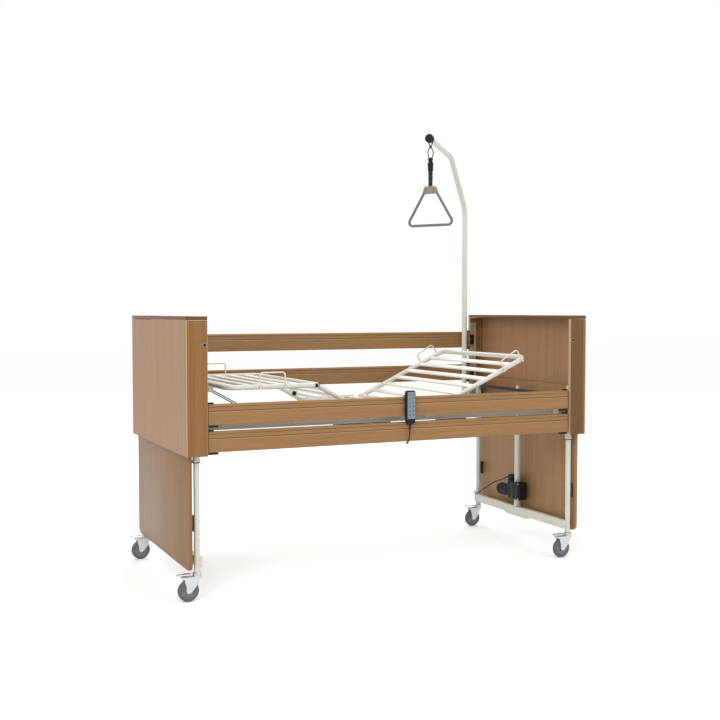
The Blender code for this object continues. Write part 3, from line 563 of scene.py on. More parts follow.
# legs, sleeves and lift drives
legInsetX, legInsetY = 0.062, 0.065
legY = halfWidth - legInsetY
columnInset = 0.081
wiperRing = [(0, 0.0146), (0, 0.019), (0.001, 0.02), (0.0035, 0.02), (0.0042, 0.0188), (0.0042, 0.0146),
    (0, 0.0146)]
collarRing = [(0, 0.015), (0, 0.0194), (0.0006, 0.02), (0.0078, 0.02), (0.009, 0.018), (0.009, 0.015),
    (0, 0.015)]
sleeveRings = (("_sleeve_wipers", 0.6384, wiperRing, blackPlastic, "lift_motor_black"),
    ("_sleeve_collars", 0.6428, collarRing, cream, "upper_frame_cream"))
for end, side in ends.items():
    legs = end + "_legs"
    legX = endX(side, legInsetX)
    columnX = endX(side, columnInset)
    boardY = halfWidth - 0.038

    def lowCorner(edge):
        a, b = edge.verts
        return max(a.co.z, b.co.z) < 0.142 and abs(a.co.y - b.co.y) < 0.001
    addBox((endX(side, 0.0192), -boardY, 0.141), (endX(side, 0.0342), boardY, 0.93), 0.034, 12, lowCorner)
    bevel(draft, sharpEdges(draft), 0.0012, 2)
    # foot and head lower boards take the shaded and lit copies of one wood, painted shade and painted light
    makePiece(end + "_lower_panel", wood["lowerFootShaded" if side < 0 else "lowerHeadLit"], legs,
        [end + "_lower_board"])

    # leg frame
    addBox((endX(side, 0.06), -legY, 0.152), (endX(side, 0.09), legY, 0.198), 0.004, 3, runsAlong(1))
    x0, x1 = sorted((endX(side, 0.064), endX(side, 0.086)))
    outline = ((-0.135, 0.1535), (-0.1, 0.14), (0.1, 0.14), (0.135, 0.1535))
    addPrism([(x0, y, z) for y, z in outline], (x1 - x0, 0, 0))
    for sideY in sides.values():
        y = sideY * legY
        addRod((legX, y, 0.1375), (legX, y, 0.93), 0.014, 0.0012, 32)
        addLathe((legX, y, 0.1375), up, [(0, 0.0138), (0, 0.0152), (0.012, 0.0152), (0.0135, 0.014)], 32)
        # weld beads where the crossbar meets the tube
        for z in (0.152, 0.198):
            addTube([(legX - side * 0.012, y - sideY * 0.0145, z),
                (legX - side * 0.024, y - sideY * 0.0135, z)], 0.0016, 8)
    makePiece(end + "_leg_tubes", cream, legs, [end + "_leg_frame"])

    for y in (-legY, legY):
        for z, deeper in ((0.358, 0.034), (0.888, 0)):
            addBox((endX(side, 0.0346), y - 0.011, z - deeper), (endX(side, 0.049), y + 0.011, z + 0.04),
                0.0015, 2)
    makePiece(end + "_board_brackets", darkSteel, legs)
    for y in (-legY, legY):
        for z in (0.368, 0.388, 0.898, 0.918):
            addRod((legX + side * 0.014, y, z), (legX - side * 0.016, y, z), 0.0035, 0.0008, 16)
    makePiece(end + "_bracket_rivets", zinc, legs)

    # sleeves and beam of the upper frame
    for y in (-legY, legY):
        addLathe((legX, y, 0.6385), up,
            [(0.012, 0.0148), (0.012, 0.017), (0.2455, 0.017), (0.2455, 0.0148), (0.012, 0.0148)], 32)
    makePiece(end + "_sleeves", cream, "chassis", [end + "_upper_frame"])
    # the cross beam is a real bar, but its dark steel paints the dark shadow line above the lower board
    for x0, x1 in ((0.066, 0.0715), (0.0905, 0.096)):
        addBox((endX(side, x0), -legY + 0.0158, 0.868), (endX(side, x1), legY - 0.0158, 0.884), 0.001, 1)
    for y0, y1 in ((-legY + 0.0158, -0.011), (0.011, legY - 0.0158)):
        addBox((endX(side, 0.0715), y0, 0.8695), (endX(side, 0.0905), y1, 0.8825))
    addLathe((columnX, 0, 0.8682), up,
        [(0, 0.0094), (0, 0.014), (0.0156, 0.014), (0.0156, 0.0094), (0, 0.0094)], 28)
    makePiece(end + "_cross_beam", darkSteel, "chassis")
    for piece, z, profile, material, slot in sleeveRings:
        for y in (-legY, legY):
            addLathe((legX, y, z), up, profile, 32)
        makePiece(end + piece, material, "chassis")

    # lift column: outer tube with its bearing ring, rod and nut
    addLathe((columnX, 0, 0.1985), up,
        [(0.012, 0), (0.012, 0.0165), (0.429, 0.0165), (0.4375, 0.015), (0.4375, 0.01), (0.42, 0.01),
        (0.42, 0)], 36)
    addBox((columnX - 0.01, -0.012, 0.1985), (columnX + 0.01, 0.012, 0.22), 0.003, 2)
    makePiece(end + "_column_tube", cream, legs, [end + "_lift_tube"])
    addLathe((columnX, 0, 0.6362), up,
        [(0, 0.0096), (0, 0.014), (0.003, 0.013), (0.0036, 0.0096), (0, 0.0096)], 28)
    makePiece(end + "_column_wiper", blackPlastic, legs)
    addRod((columnX, 0, 0.47), (columnX, 0, 0.885), 0.009, 0.001, 28)
    makePiece(end + "_column_rod", steel, "chassis", [end + "_lift_rod"])
    addHexBolt((columnX, 0, 0.8845), up, 0.019, 0.016)
    makePiece(end + "_column_nut", slatCoat, "chassis")

    # motor: two-part gearbox housing, motor can with ribs and end cap, plug box and clevis pin
    x0, x1 = endX(side, 0.0535), endX(side, 0.1125)
    for y0, y1 in ((-0.0635, -0.0172), (0.0172, 0.0655)):
        addBox((x0, y0, 0.2405), (x1, y1, 0.3455), 0.01, 4)
    addBox((x0, -0.026, 0.244), (endX(side, 0.064), 0.026, 0.342), 0.003, 2)
    addBox((endX(side, 0.0982), -0.026, 0.244), (x1, 0.026, 0.342), 0.003, 2)
    for y in (-0.052, -0.04, 0.034, 0.055):
        addBox((endX(side, 0.1115), y - 0.0012, 0.254), (endX(side, 0.113), y + 0.0012, 0.332))
    makePiece(end + "_gearbox", blackPlastic, legs, [end + "_lift_motor"])
    profile = [(0, 0), (0, 0.0325), (0.002, 0.0338)]
    for k in range(6):
        a = 0.014 + k * 0.0115
        profile += [(a, 0.0338), (a + 0.001, 0.0325), (a + 0.003, 0.0325), (a + 0.004, 0.0338)]
    profile += [(0.09, 0.0338), (0.092, 0.035), (0.108, 0.035), (0.114, 0.0322), (0.116, 0.025), (0.116, 0)]
    addLathe((columnX, 0.06, 0.279), (0, 1, 0), profile, 40)
    makePiece(end + "_motor_can", blackPlastic, legs)
    addBox((endX(side, 0.0625), 0.0265, 0.344), (endX(side, 0.0995), 0.0695, 0.3775), 0.0035, 3)
    addBox((endX(side, 0.0995), 0.032, 0.35), (endX(side, 0.1015), 0.064, 0.372), 0.0008, 1)
    addLathe((columnX, 0.069, 0.362), (0, 1, 0),
        [(0, 0), (0, 0.006), (0.0015, 0.006), (0.002, 0.004), (0.008, 0.0036), (0.008, 0)], 20)
    makePiece(end + "_plug_box", softBlack, legs)
    for y, z in ((-0.055, 0.25), (-0.055, 0.336), (0.056, 0.336), (0.056, 0.25)):
        addRod((endX(side, 0.112), y, z), (endX(side, 0.1135), y, z), 0.0032, 0.0006, 16)
    addRod((columnX - 0.014, 0, 0.209), (columnX + 0.014, 0, 0.209), 0.004, 0.0008, 18)
    makePiece(end + "_motor_screws", zinc, legs)
    # clevis ears on the crossbar
    for dx in (-0.0125, 0.0125):
        addBox((columnX + dx - 0.0014, -0.013, 0.1975), (columnX + dx + 0.0014, 0.013, 0.219), 0.0012, 1)
    makePiece(end + "_clevis", cream, legs)
print("legs and drives done")

# castors
axleZ, wheelX = 0.05, 0.042
for end, side in ends.items():
    for name, sideY in sides.items():
        label = f"{end}_{name}"
        x = endX(side, legInsetX)
        y = sideY * legY
        axleX = x - wheelX
        fork, wheelBody, brake = f"fork_{label}", f"wheel_{label}", f"brake_{label}"
        # swivel head: two dished races with a ball track between them
        addLathe((x, y, 0.1045), up,
            [(0, 0), (0, 0.015), (0.012, 0.0205), (0.0165, 0.0212), (0.0175, 0.0196), (0.0195, 0.0196),
            (0.0205, 0.0212), (0.0255, 0.0205), (0.029, 0.015), (0.0322, 0.0142), (0.0322, 0)], 36)
        # fork: bridge plate and two shaped cheeks
        addBox((axleX - 0.034, y - 0.019, 0.1038), (x + 0.019, y + 0.019, 0.116), 0.0045, 3)
        for plate in (-1, 1):
            outline = [(-0.012, 0.044), (-0.006, 0.0395), (0.006, 0.0395), (0.0125, 0.045), (0.036, 0.074),
                (0.048, 0.102), (0.048, 0.112), (-0.021, 0.112), (-0.019, 0.09), (-0.013, 0.07)]
            ya = y + plate * 0.0162
            addPrism([(axleX + dx, ya, z) for dx, z in outline], (0, plate * 0.003, 0), 0.004)
        makePiece(f"castor_body_{label}", zinc, fork, [f"castor_fork_{label}"])
        addRod((axleX, y - 0.0205, axleZ), (axleX, y + 0.0205, axleZ), 0.004, 0.0006, 16)
        for plate in (-1, 1):
            addHexBolt((axleX, y + plate * 0.0192, axleZ), (0, plate, 0), 0.01, 0.003)
        makePiece(f"castor_axle_{label}", steel, fork)
        # wheel: rounded tyre with fine circumferential grooves, hub with web and bearing boss
        profile = ringProfile([(-0.0125, 0.0335), (-0.0135, 0.036), (-0.0135, 0.0415), (-0.011, 0.0465),
            (-0.007, 0.049), (-0.0042, 0.0497), (-0.0036, 0.0489), (-0.0026, 0.0489), (-0.002, 0.0499)])
        addLathe((axleX, y, axleZ), (0, 1, 0), profile, 56)
        makePiece(f"castor_tyre_{label}", tyreRubber, wheelBody, [f"castor_wheel_{label}"])
        profile = ringProfile([(-0.0125, 0.0044), (-0.0135, 0.006), (-0.0135, 0.0105), (-0.012, 0.0118),
            (-0.006, 0.013), (-0.005, 0.0155), (-0.005, 0.0285), (-0.006, 0.03), (-0.0118,
            0.0318), (-0.0122, 0.0336)])
        addLathe((axleX, y, axleZ), (0, 1, 0), profile, 48)
        for k in range(10):
            turn = Matrix.Translation((axleX, y, axleZ)) @ Matrix.Rotation(math.tau * k / 10, 4, "Y")
            addBox((0.0125, -0.0095, -0.001), (0.0305, 0.0095, 0.001), turn=turn)
        makePiece(f"castor_hub_{label}", hubPlastic, wheelBody)
        # brake pedal: curved plate with a hooked tip, grip ridges and its pin
        pivotX = x - 0.03
        pedal = ((0.004, 0.1262, 0.011), (-0.006, 0.128, 0.014), (-0.02, 0.1278, 0.0148),
            (-0.038, 0.1262, 0.012), (-0.05, 0.127, 0.0095), (-0.06, 0.1262, 0.012), (-0.0655, 0.1248,
            0.0128))
        slab = bmesh.new()
        corners = ((-1, -1), (1, -1), (1, 1), (-1, 1))
        closeRings(slab, [[slab.verts.new((pivotX + dx, y + u * w, z + v * 0.0013)) for u, v in corners]
            for dx, z, w in pedal])
        merge(slab)
        addTube([(pivotX - 0.063, y - 0.0122, 0.1258), (pivotX - 0.065, y, 0.1262),
            (pivotX - 0.063, y + 0.0122, 0.1258)], 0.0022, 10)
        for k in range(3):
            addBox((pivotX - 0.048 - k * 0.005, y - 0.008, 0.1278),
                (pivotX - 0.0495 - k * 0.005, y + 0.008, 0.1292), 0.0005, 1)
        addRod((pivotX, y - 0.015, 0.1245), (pivotX, y + 0.015, 0.1245), 0.0042, 0.0006, 18)
        makePiece(f"castor_pedal_{label}", zinc, brake, [f"castor_brake_{label}"])
print("castors done")

# side rails
rails = {"near_rail_upper": (-1, 0.861), "near_rail_lower": (-1, 0.736), "far_rail_upper": (1, 1.157),
    "far_rail_lower": (1, 0.956)}
railEnd, railHeight, railThick = 0.9943, 0.098, 0.024


def railProfile(height, thick):
    top = height / 2
    half = thick / 2
    line = []
    for k in range(7):
        a = math.pi / 2 * k / 6
        line.append((half - 0.009 + 0.009 * math.sin(a), top - 0.009 + 0.009 * math.cos(a)))
    line += [(half - 0.0004, top - 0.012), (half - 0.0022, top - 0.0128), (half - 0.0022, top - 0.0142),
        (half - 0.001, top - 0.015), (half - 0.0024, top - 0.032), (half - 0.0044,
        top - 0.0326), (half - 0.0044, top - 0.034), (half - 0.003, top - 0.0344), (half, top - 0.0385)]
    for k in range(5):
        a = math.pi / 2 * k / 4
        line.append((half - 0.006 + 0.006 * math.cos(a), -top + 0.006 - 0.006 * math.sin(a)))
    return line + [(-u, v) for u, v in reversed(line)]


for name, (sideY, middle) in rails.items():
    centreY = sideY * (0.518 - 0.012)
    addPrism([(-0.9945, centreY + u, middle + v) for u, v in railProfile(railHeight, railThick)],
        (1.989, 0, 0))
    makePiece(name + "_board", wood["rail"], name, [name], sharp=30)
    # near-black strips laid in each groove: painted shadow
    for way in (-1, 1):
        for y0, z0, y1, z1 in ((0.0094, 0.0351, 0.0101, 0.0361), (0.007, 0.0149, 0.0084, 0.017)):
            addBox((-railEnd, centreY + way * y0, middle + z0), (railEnd, centreY + way * y1, middle + z1))
    makePiece(name + "_groove_shadow", wood["groove"], name)
    # pale strip at the foot of the chamfer on each face: a painted highlight
    for way in (-1, 1):
        addBox((-railEnd, centreY + way * 0.01, middle + 0.0106),
            (railEnd, centreY + way * 0.01205, middle + 0.0124), 0.0004, 1)
    makePiece(name + "_groove_painted_highlight", wood["edge"], name)
    for side in ends.values():
        addBox((side * railEnd, sideY * 0.5172, middle - 0.0475),
            (side * 0.9965, sideY * 0.4948, middle + 0.047), 0.0008, 1)
        addBox((side * 0.996, sideY * 0.4968, middle - 0.03),
            (side * 1.0295, sideY * 0.5052, middle + 0.03), 0.0015, 2)
    makePiece(name + "_end_runners", blackPlastic, name)
    for side in ends.values():
        addBox((side * 0.946, sideY * 0.515, middle - 0.059),
            (side * 0.994, sideY * 0.496, middle - 0.0485), 0.0025, 2)
        addBox((side * 0.968, sideY * 0.514, middle + 0.0488),
            (side * 0.994, sideY * 0.498, middle + 0.056), 0.0015, 2)
    makePiece(name + "_end_shoes", softBlack, name)
print("rails done")

# mattress platform
tubeRadius = 0.0125
platformY = 0.443
hingeZ = 0.835
backHinge = Vector((0.223, 0, hingeZ))
thighHinge = Vector((-0.174, 0, hingeZ))
knee = Vector((-0.423, 0, 0.976))
backAngle = math.radians(25.0)
thighAngle = math.atan2(knee.z - hingeZ, knee.x - thighHinge.x)


def onSection(hinge, angle, along, y, lift=0.0):
    return Vector((hinge.x + along * math.cos(angle) - lift * math.sin(angle), y,
        hinge.z + along * math.sin(angle) + lift * math.cos(angle)))


def addSlat(hinge, angle, along, halfSpan):
    slat = bmesh.new()
    outline = [(0.016 * squarish(math.cos(a), 0.55), 0.006 * squarish(math.sin(a), 0.8))
        for a in around(20)]
    rings = []
    for k in range(9):
        y = halfSpan * (k / 4 - 1)
        crown = 0.0014 * (1 - (y / halfSpan) ** 2)
        rings.append([slat.verts.new((u, y, v + crown - 0.0006)) for u, v in outline])
    closeRings(slat, rings)
    merge(slat, Matrix.Translation(onSection(hinge, angle, along, 0)) @ Matrix.Rotation(-angle, 4, "Y"))


def addWeld(hinge, angle, along, y, inward):
    for du in (-0.0155, 0.0155):
        a, b = (onSection(hinge, angle, along + du, y - inward * reach, 0.001) for reach in (0.0115, 0.015))
        addRod(a, b, 0.0026, 0.001, 10)


def makeSlats(section, hinge, angle, places, halfSpan, tubeY):
    for along in places:
        addSlat(hinge, angle, along, halfSpan)
    makePiece(section + "_slats", slatCoat, section)
    for along in places:
        for sideY in sides.values():
            addWeld(hinge, angle, along, sideY * tubeY, sideY)
    makePiece(section + "_welds", slatCoat, section)


# backrest
path = [onSection(backHinge, backAngle, u, y) for u,
    y in ((0, -platformY), (0.6, -platformY), (0.6, platformY), (0, platformY))]
addTube(roundedPath(path, 0.045, 12), tubeRadius, 24)
addRod((backHinge.x, -platformY - 0.0115, hingeZ), (backHinge.x, platformY + 0.0115, hingeZ), 0.0138,
    0.0012, 28)
makePiece("backrest_tubes", cream, "backrest", ["backrest_frame"])
makeSlats("backrest", backHinge, backAngle, [0.085 + i * 0.0855 for i in range(6)], platformY - 0.01,
    platformY)

# thigh and calf sections
thighY = platformY - 2 * tubeRadius - 0.0006
addRod((thighHinge.x, -thighY - 0.0118, hingeZ), (thighHinge.x, thighY + 0.0118, hingeZ), 0.0138,
    0.0012, 28)
addRod((knee.x, -thighY - 0.0113, knee.z), (knee.x, thighY + 0.0113, knee.z), 0.0124, 0.0012, 28)
for sideY in sides.values():
    addTube([(thighHinge.x, sideY * thighY, hingeZ), (knee.x, sideY * thighY, knee.z)], 0.0116, 24)
makePiece("thigh_tubes", cream, "thigh", ["thigh_frame"])
makeSlats("thigh", thighHinge, thighAngle, (0.085, 0.17, 0.235), thighY - 0.009, thighY)

path = [(knee.x - 0.002, -platformY, knee.z), (-0.88, -platformY, knee.z), (-0.88, platformY, knee.z),
    (knee.x - 0.002, platformY, knee.z)]
addTube(roundedPath(path, 0.06, 12), tubeRadius, 24)
makePiece("calf_tubes", cream, "calf", ["calf_frame"])
makeSlats("calf", knee, math.pi, [0.072 + i * 0.082 for i in range(5)], platformY - 0.01, platformY)

# knee joint: black end plugs in the calf tubes, bolts and washers
boltBack = 0.012
for sideY in sides.values():
    addLathe((knee.x - 0.0025, sideY * platformY, knee.z), (1, 0, 0),
        [(0, 0), (0, 0.0118), (0.0022, 0.0126), (0.0046, 0.012), (0.0062, 0.009), (0.0062, 0)], 24)
    addHexBolt((knee.x - boltBack, sideY * (platformY + 0.01), knee.z), (0, sideY, 0), 0.013, 0.007)
makePiece("knee_plugs", blackPlastic, "calf")
for sideY in sides.values():
    addRod((knee.x - boltBack, sideY * (thighY + 0.006), knee.z),
        (knee.x - boltBack, sideY * (platformY + 0.0115), knee.z), 0.0045, 0.0006, 16)
makePiece("knee_bolts", zinc, "calf")

# calf support bracket with its nut, and the strut's ears
strutLow = Vector((-0.581, 0, 0.796))
strutHigh = strutLow + (knee - thighHinge)
outline = [(-0.57, 0.964), (-0.522, 0.964), (-0.526, 0.938), (-0.536, 0.931), (-0.556, 0.931),
    (-0.566, 0.938)]
addPrism([(x, -platformY + 0.0022, z) for x, z in outline], (0, 0.0046, 0))
for sideY in sides.values():
    addBox((strutHigh.x - 0.0135, sideY * 0.0166, strutHigh.z - 0.0115),
        (strutHigh.x + 0.0135, sideY * 0.0212, knee.z - 0.004), 0.0012, 1)
addBox((strutHigh.x - 0.079, -0.021, knee.z - 0.0098), (strutHigh.x + 0.079, 0.021, knee.z - 0.0062),
    0.001, 1)
makePiece("calf_brackets", slatCoat, "calf")
addHexBolt((-0.546, -platformY + 0.0022, 0.94), (0, -1, 0), 0.015, 0.009)
makePiece("calf_bracket_nut", blackPlastic, "calf")

normal = Vector((-(knee.z - hingeZ), 0, knee.x - thighHinge.x)).normalized() * 0.0045
for way in (normal, -normal):
    addRod(strutLow + way, strutHigh + way, 0.0028, 0.0005, 14)
for pin in (strutLow, strutHigh):
    addRod(pin + Vector((0, -0.015, 0)), pin + Vector((0, 0.015, 0)), 0.0085, 0.001, 24)
makePiece("calf_strut_rods", darkSteel, "strut", ["calf_strut"])

# mattress retainers with plugs where they enter the frame
for name, sideY in sides.items():
    y = sideY * (platformY + tubeRadius + 0.0044)
    loop = [Vector((x, y, z)) for x,
        z in ((-0.724, knee.z - 0.01), (-0.726, knee.z + 0.068), (-0.6, knee.z + 0.068),
        (-0.598, knee.z - 0.01))]
    addTube(roundedPath(loop, 0.014, 8), 0.0038, 14)
    for foot in (loop[0], loop[-1]):
        addRod(foot + Vector((0, -sideY * 0.004, 0.004)), foot + Vector((0, -sideY * 0.004, 0.012)), 0.0062,
            0.0015, 18)
    makePiece("calf_guard_" + name, cream, "calf", ["calf_retainer_" + name])
    loop = [onSection(backHinge, backAngle, u, y, lift) for u,
        lift in ((0.445, -0.01), (0.445, 0.052), (0.56, 0.064), (0.572, -0.01))]
    addTube(roundedPath(loop, 0.014, 8), 0.0038, 14)
    for u in (0.445, 0.572):
        addRod(onSection(backHinge, backAngle, u, y - sideY * 0.004, -0.006),
            onSection(backHinge, backAngle, u, y - sideY * 0.004, 0.003), 0.0062, 0.0015, 18)
    makePiece("back_guard_" + name, cream, "backrest", ["back_retainer_" + name])
print("platform done")

# chassis
memberY = 0.418
for sideY in sides.values():
    y = sideY * memberY
    addBox((-0.988, y - 0.013, 0.78), (0.988, y + 0.013, 0.816), 0.003, 3, runsAlong(0))
    for side in ends.values():
        addBox((side * 0.96, sideY * legY - 0.012, 0.784),
            (endX(side, legInsetX + 0.0174), sideY * legY + 0.012, 0.812), 0.002, 2)
    addTube([(thighHinge.x + 0.055, sideY * platformY, hingeZ),
        (backHinge.x - 0.055, sideY * platformY, hingeZ)], tubeRadius, 24)
    for x in (thighHinge.x + 0.08, backHinge.x - 0.08):
        addBox((x - 0.015, sideY * (platformY - 0.036), 0.802), (x + 0.015, sideY * platformY, hingeZ),
            0.002, 2)
for x in (-0.973, 0.973):
    addBox((x - 0.015, -0.46, 0.782), (x + 0.015, 0.46, 0.814), 0.003, 3, runsAlong(1))
for x in (-0.541, -0.134, 0.183):
    addBox((x - 0.012, -memberY, 0.786), (x + 0.012, memberY, 0.81), 0.002, 2, runsAlong(1))
for sideY in sides.values():
    addBox((-0.5712, sideY * 0.0105, 0.7895), (-0.546, sideY * 0.012, 0.8065), 0.0006, 1)
addLathe((0.9246, 0.4486, 0.716), up,
    [(0, 0), (0, 0.02), (0.0015, 0.0215), (0.1165, 0.0215), (0.118, 0.0205), (0.118, 0.0161),
    (0.012, 0.0161), (0.012, 0)], 36)
addBox((0.94, 0.4386, 0.786), (0.965, 0.4586, 0.81), 0.002, 2)
makePiece("chassis_tubes", cream, "chassis", ["chassis_frame"])
for i in range(3):
    addSlat(thighHinge, 0.0, 0.089 + i * 0.119, platformY - 0.01)
makePiece("seat_slats", slatCoat, "chassis")
addLathe((0.9246, 0.4486, 0.8338), up,
    [(0, 0.0158), (0, 0.0208), (0.003, 0.0212), (0.0044, 0.0196), (0.0044, 0.0158), (0, 0.0158)], 32)
for sideY in sides.values():
    for x in (thighHinge.x + 0.055, backHinge.x - 0.055):
        way = -1 if x < 0 else 1
        addLathe((x - way * 0.003, sideY * platformY, hingeZ), (way, 0, 0),
            [(0, 0), (0, 0.0122), (0.003, 0.0127), (0.005, 0.0115), (0.006, 0.008), (0.006, 0)], 24)
    for side in ends.values():
        for dz in (0.79, 0.806):
            addHexBolt((side * 0.9575, sideY * 0.38, dz), (-side, 0, 0), 0.008, 0.004)
makePiece("chassis_plugs", blackPlastic, "chassis")
for sideY in sides.values():
    for x in (-0.9, -0.541, -0.134, 0.183, 0.9):
        addHexBolt((x, sideY * (memberY + 0.0128), 0.798), (0, sideY, 0), 0.011, 0.0055)
    for hinge in (backHinge, thighHinge):
        reach = platformY + 0.0116 if hinge is backHinge else thighY + 0.0118
        addHexBolt((hinge.x, sideY * reach, hingeZ), (0, sideY, 0), 0.012, 0.0055)
makePiece("chassis_bolts", zinc, "chassis")
for sideY in sides.values():
    for hinge in (backHinge, thighHinge):
        reach = (platformY if hinge is backHinge else thighY) - 0.03
        addBox((hinge.x - 0.017, sideY * (reach - 0.0025), 0.8105),
            (hinge.x + 0.017, sideY * (reach + 0.0025), 0.834), 0.002, 2)
        addBox((hinge.x - (0.045 if hinge is backHinge else -0.045), sideY * (reach - 0.0025), 0.806),
            (hinge.x + 0.01 * (1 if hinge is backHinge else -1), sideY * (reach + 0.0025),
            0.816), 0.0015, 1)
makePiece("hinge_lugs", slatCoat, "chassis")

# twin drive: long housing in two halves with motor bulge, screws and sockets
addBox((-0.13, -0.055, 0.712), (0.17, 0.055, 0.7454), 0.011, 4)
addBox((-0.129, -0.054, 0.7458), (0.169, 0.054, 0.7796), 0.008, 3)
profile = [(0, 0.028), (0.07, 0.028), (0.072, 0.0268), (0.076, 0.0268), (0.078, 0.028), (0.104, 0.028),
    (0.112, 0.0262), (0.118, 0.02), (0.12, 0.0)]
addLathe((0.02, 0.03, 0.7455), (0, 1, 0), [(0, 0)] + profile, 40)
for x in (-0.1, -0.06, 0.1, 0.14):
    addBox((x - 0.0016, -0.0552, 0.722), (x + 0.0016, -0.054, 0.77))
makePiece("twin_drive_housing", blackPlastic, "chassis", ["twin_drive"])
for x in (-0.115, 0.02, 0.155):
    for y in (-0.044, 0.044):
        addRod((x, y, 0.7108), (x, y, 0.713), 0.004, 0.0006, 18)
makePiece("twin_drive_screws", zinc, "chassis")

# control box: lid, ribs, plug row and an indicator
addBox((0.3, -0.395, 0.735), (0.44, -0.3, 0.765), 0.0055, 3)
addBox((0.3012, -0.3938, 0.7652), (0.4388, -0.3012, 0.7796), 0.004, 3)
addBox((0.301, -0.3998, 0.7605), (0.33, -0.39, 0.7755), 0.002, 2)
for k in range(4):
    addRod((0.345 + k * 0.026, -0.394, 0.75), (0.345 + k * 0.026, -0.4, 0.75), 0.0075, 0.0012, 20)
makePiece("control_box_case", softBlack, "chassis", ["control_box"])
addRod((0.425, -0.3945, 0.772), (0.425, -0.3965, 0.772), 0.0022, 0.0006, 14)
makePiece("control_box_lamp", lampGreen, "chassis")
print("chassis done")

# lifting pole and grab handle
poleX, poleY, poleRadius = 0.9246, 0.4486, 0.0155
arm = Vector((-math.cos(math.radians(45)), -math.sin(math.radians(45)), 0))
poleFoot = Vector((poleX, poleY, 0))
bendHigh = poleFoot + arm * 0.33 + Vector((0, 0, 2.222))
poleTip = poleFoot + arm * 0.77 + Vector((0, 0, 2.262))
addTube(roundedPath([poleFoot + Vector((0, 0, 0.729)), poleFoot + Vector((0, 0, 1.95)), bendHigh, poleTip],
    0.12, 16), poleRadius, 32)
makePiece("pole_tube", cream, "pole", ["lifting_pole"])
along = (poleTip - bendHigh).normalized()
addLathe(poleTip + along * 0.0004, along,
    [(0, 0), (0, 0.0225), (0.002, 0.024), (0.014, 0.024), (0.018, 0.0225), (0.0196, 0.019),
    (0.0196, 0.0145), (0.0182, 0.013), (0.0182, 0)], 40)
makePiece("pole_cap", blackPlastic, "pole", ["pole_end_cap"])
addRing(poleTip + along * 0.0186, along, 0.0162, 0.0012, 40, 8)
makePiece("pole_cap_ring", greyPlastic, "pole")
for z in (0.842, 0.872):
    addLathe(poleFoot + Vector((0, 0, z)), up,
        [(0, poleRadius - 0.0004), (0, poleRadius + 0.0012), (0.0022, poleRadius + 0.0012),
        (0.0022, poleRadius - 0.0004), (0, poleRadius - 0.0004)], 32)
makePiece("pole_depth_rings", zinc, "pole")

strapPoint = poleTip - along * 0.014
barLine = Vector((0.563, -0.827, 0)).normalized()
hang = (Matrix.Translation((strapPoint.x, strapPoint.y,
    strapPoint.z)) @ Matrix.Rotation(math.atan2(barLine.y, barLine.x), 4, "Z"))
across = along.cross(Vector((0, 0, 1))).normalized()


def addBand(path, widthLine, width, thick):
    band = bmesh.new()
    path = [Vector(p) for p in path]
    corners = ((-0.5, -0.35), (-0.46, -0.5), (0.46, -0.5), (0.5, -0.35), (0.5, 0.35), (0.46, 0.5),
        (-0.46, 0.5), (-0.5, 0.35))
    rings = []
    for i, place in enumerate(path):
        tangent = (path[min(i + 1, len(path) - 1)] - path[max(i - 1, 0)]).normalized()
        normal = tangent.cross(widthLine).normalized()
        rings.append([band.verts.new(place + widthLine * width * u + normal * thick * v) for u,
            v in corners])
    closeRings(band, rings)
    merge(band)


# cord sling over the pole: round the tube, crossing under it, then open down to the buckle
grab = {"slingDrop": 0.104, "plateTop": 0.251, "plateBottom": 0.292, "gripTop": 0.273, "gripBottom": 0.462,
    "halfWidth": 0.144}
loop = [(-0.006, -0.104), (-0.015, -0.082), (-0.0145, -0.064), (-0.005, -0.046), (0.003, -0.036)]
loop += [(0.0183 * math.cos(math.radians(a)), 0.0183 * math.sin(math.radians(a)))
    for a in range(-40, 221, 20)]
loop += [(-0.003, -0.036), (0.005, -0.046), (0.0135, -0.064), (0.014, -0.082), (0.006, -0.104)]
slingPath = [strapPoint + across * dx + along * (0.0022 * math.cos(i * 0.36)) + Vector((0, 0, dz)) for i,
    (dx, dz) in enumerate(loop)]
addTube(smoothPath(slingPath, 0.004), 0.0026, 10)
for k in range(3):
    addRing(strapPoint + Vector((0, 0, -0.0345 - 0.0042 * k)), up, 0.0052, 0.0022, 20, 8)
makePiece("handle_sling", softBlack, "handle")
for y in (-0.0024, 0.0024):
    addBand([hang @ Vector((0, y, -d)) for d in (0.1, 0.14, 0.18, 0.22, 0.2506)], barLine, 0.0215, 0.003)
for d in (0.183, 0.206):
    addBox((-0.0124, -0.0062, -d - 0.005), (0.0124, 0.0062, -d + 0.005), 0.0022, 2, turn=hang)
makePiece("hanging_strap", webbing, "handle", ["handle_strap"])
addBox((-0.0125, -0.0072, -0.115), (0.0125, 0.0072, -0.0985), 0.0035, 3, turn=hang)
addBox((-0.0138, -0.0078, -0.1715), (0.0138, 0.0078, -0.129), 0.004, 3, turn=hang)
addBox((-0.01, -0.006, -0.13), (0.01, 0.006, -0.114), 0.002, 2, turn=hang)
for side in (-1, 1):
    addBox((side * 0.01, -0.005, -0.148), (side * 0.0155, 0.005, -0.124), 0.0018, 2, turn=hang)
for k in range(4):
    addBox((-0.0105, -0.0086, -0.166 + 0.0075 * k), (0.0105, 0.0086, -0.164 + 0.0075 * k), 0.0008, 1,
        turn=hang)
makePiece("strap_buckle", blackPlastic, "handle")
half = grab["halfWidth"]
grip = [hang @ Vector((u, 0, -d)) for u,
    d in ((0.0, grab["gripTop"]), (-0.03, grab["gripTop"]), (-half, grab["gripBottom"]),
    (half, grab["gripBottom"]), (0.03, grab["gripTop"]), (0.0, grab["gripTop"]))]
addTube(roundedPath(grip, 0.02, 10), 0.0072, 20)
makePiece("grip_triangle", gripPlastic, "handle", ["handle_grip"])
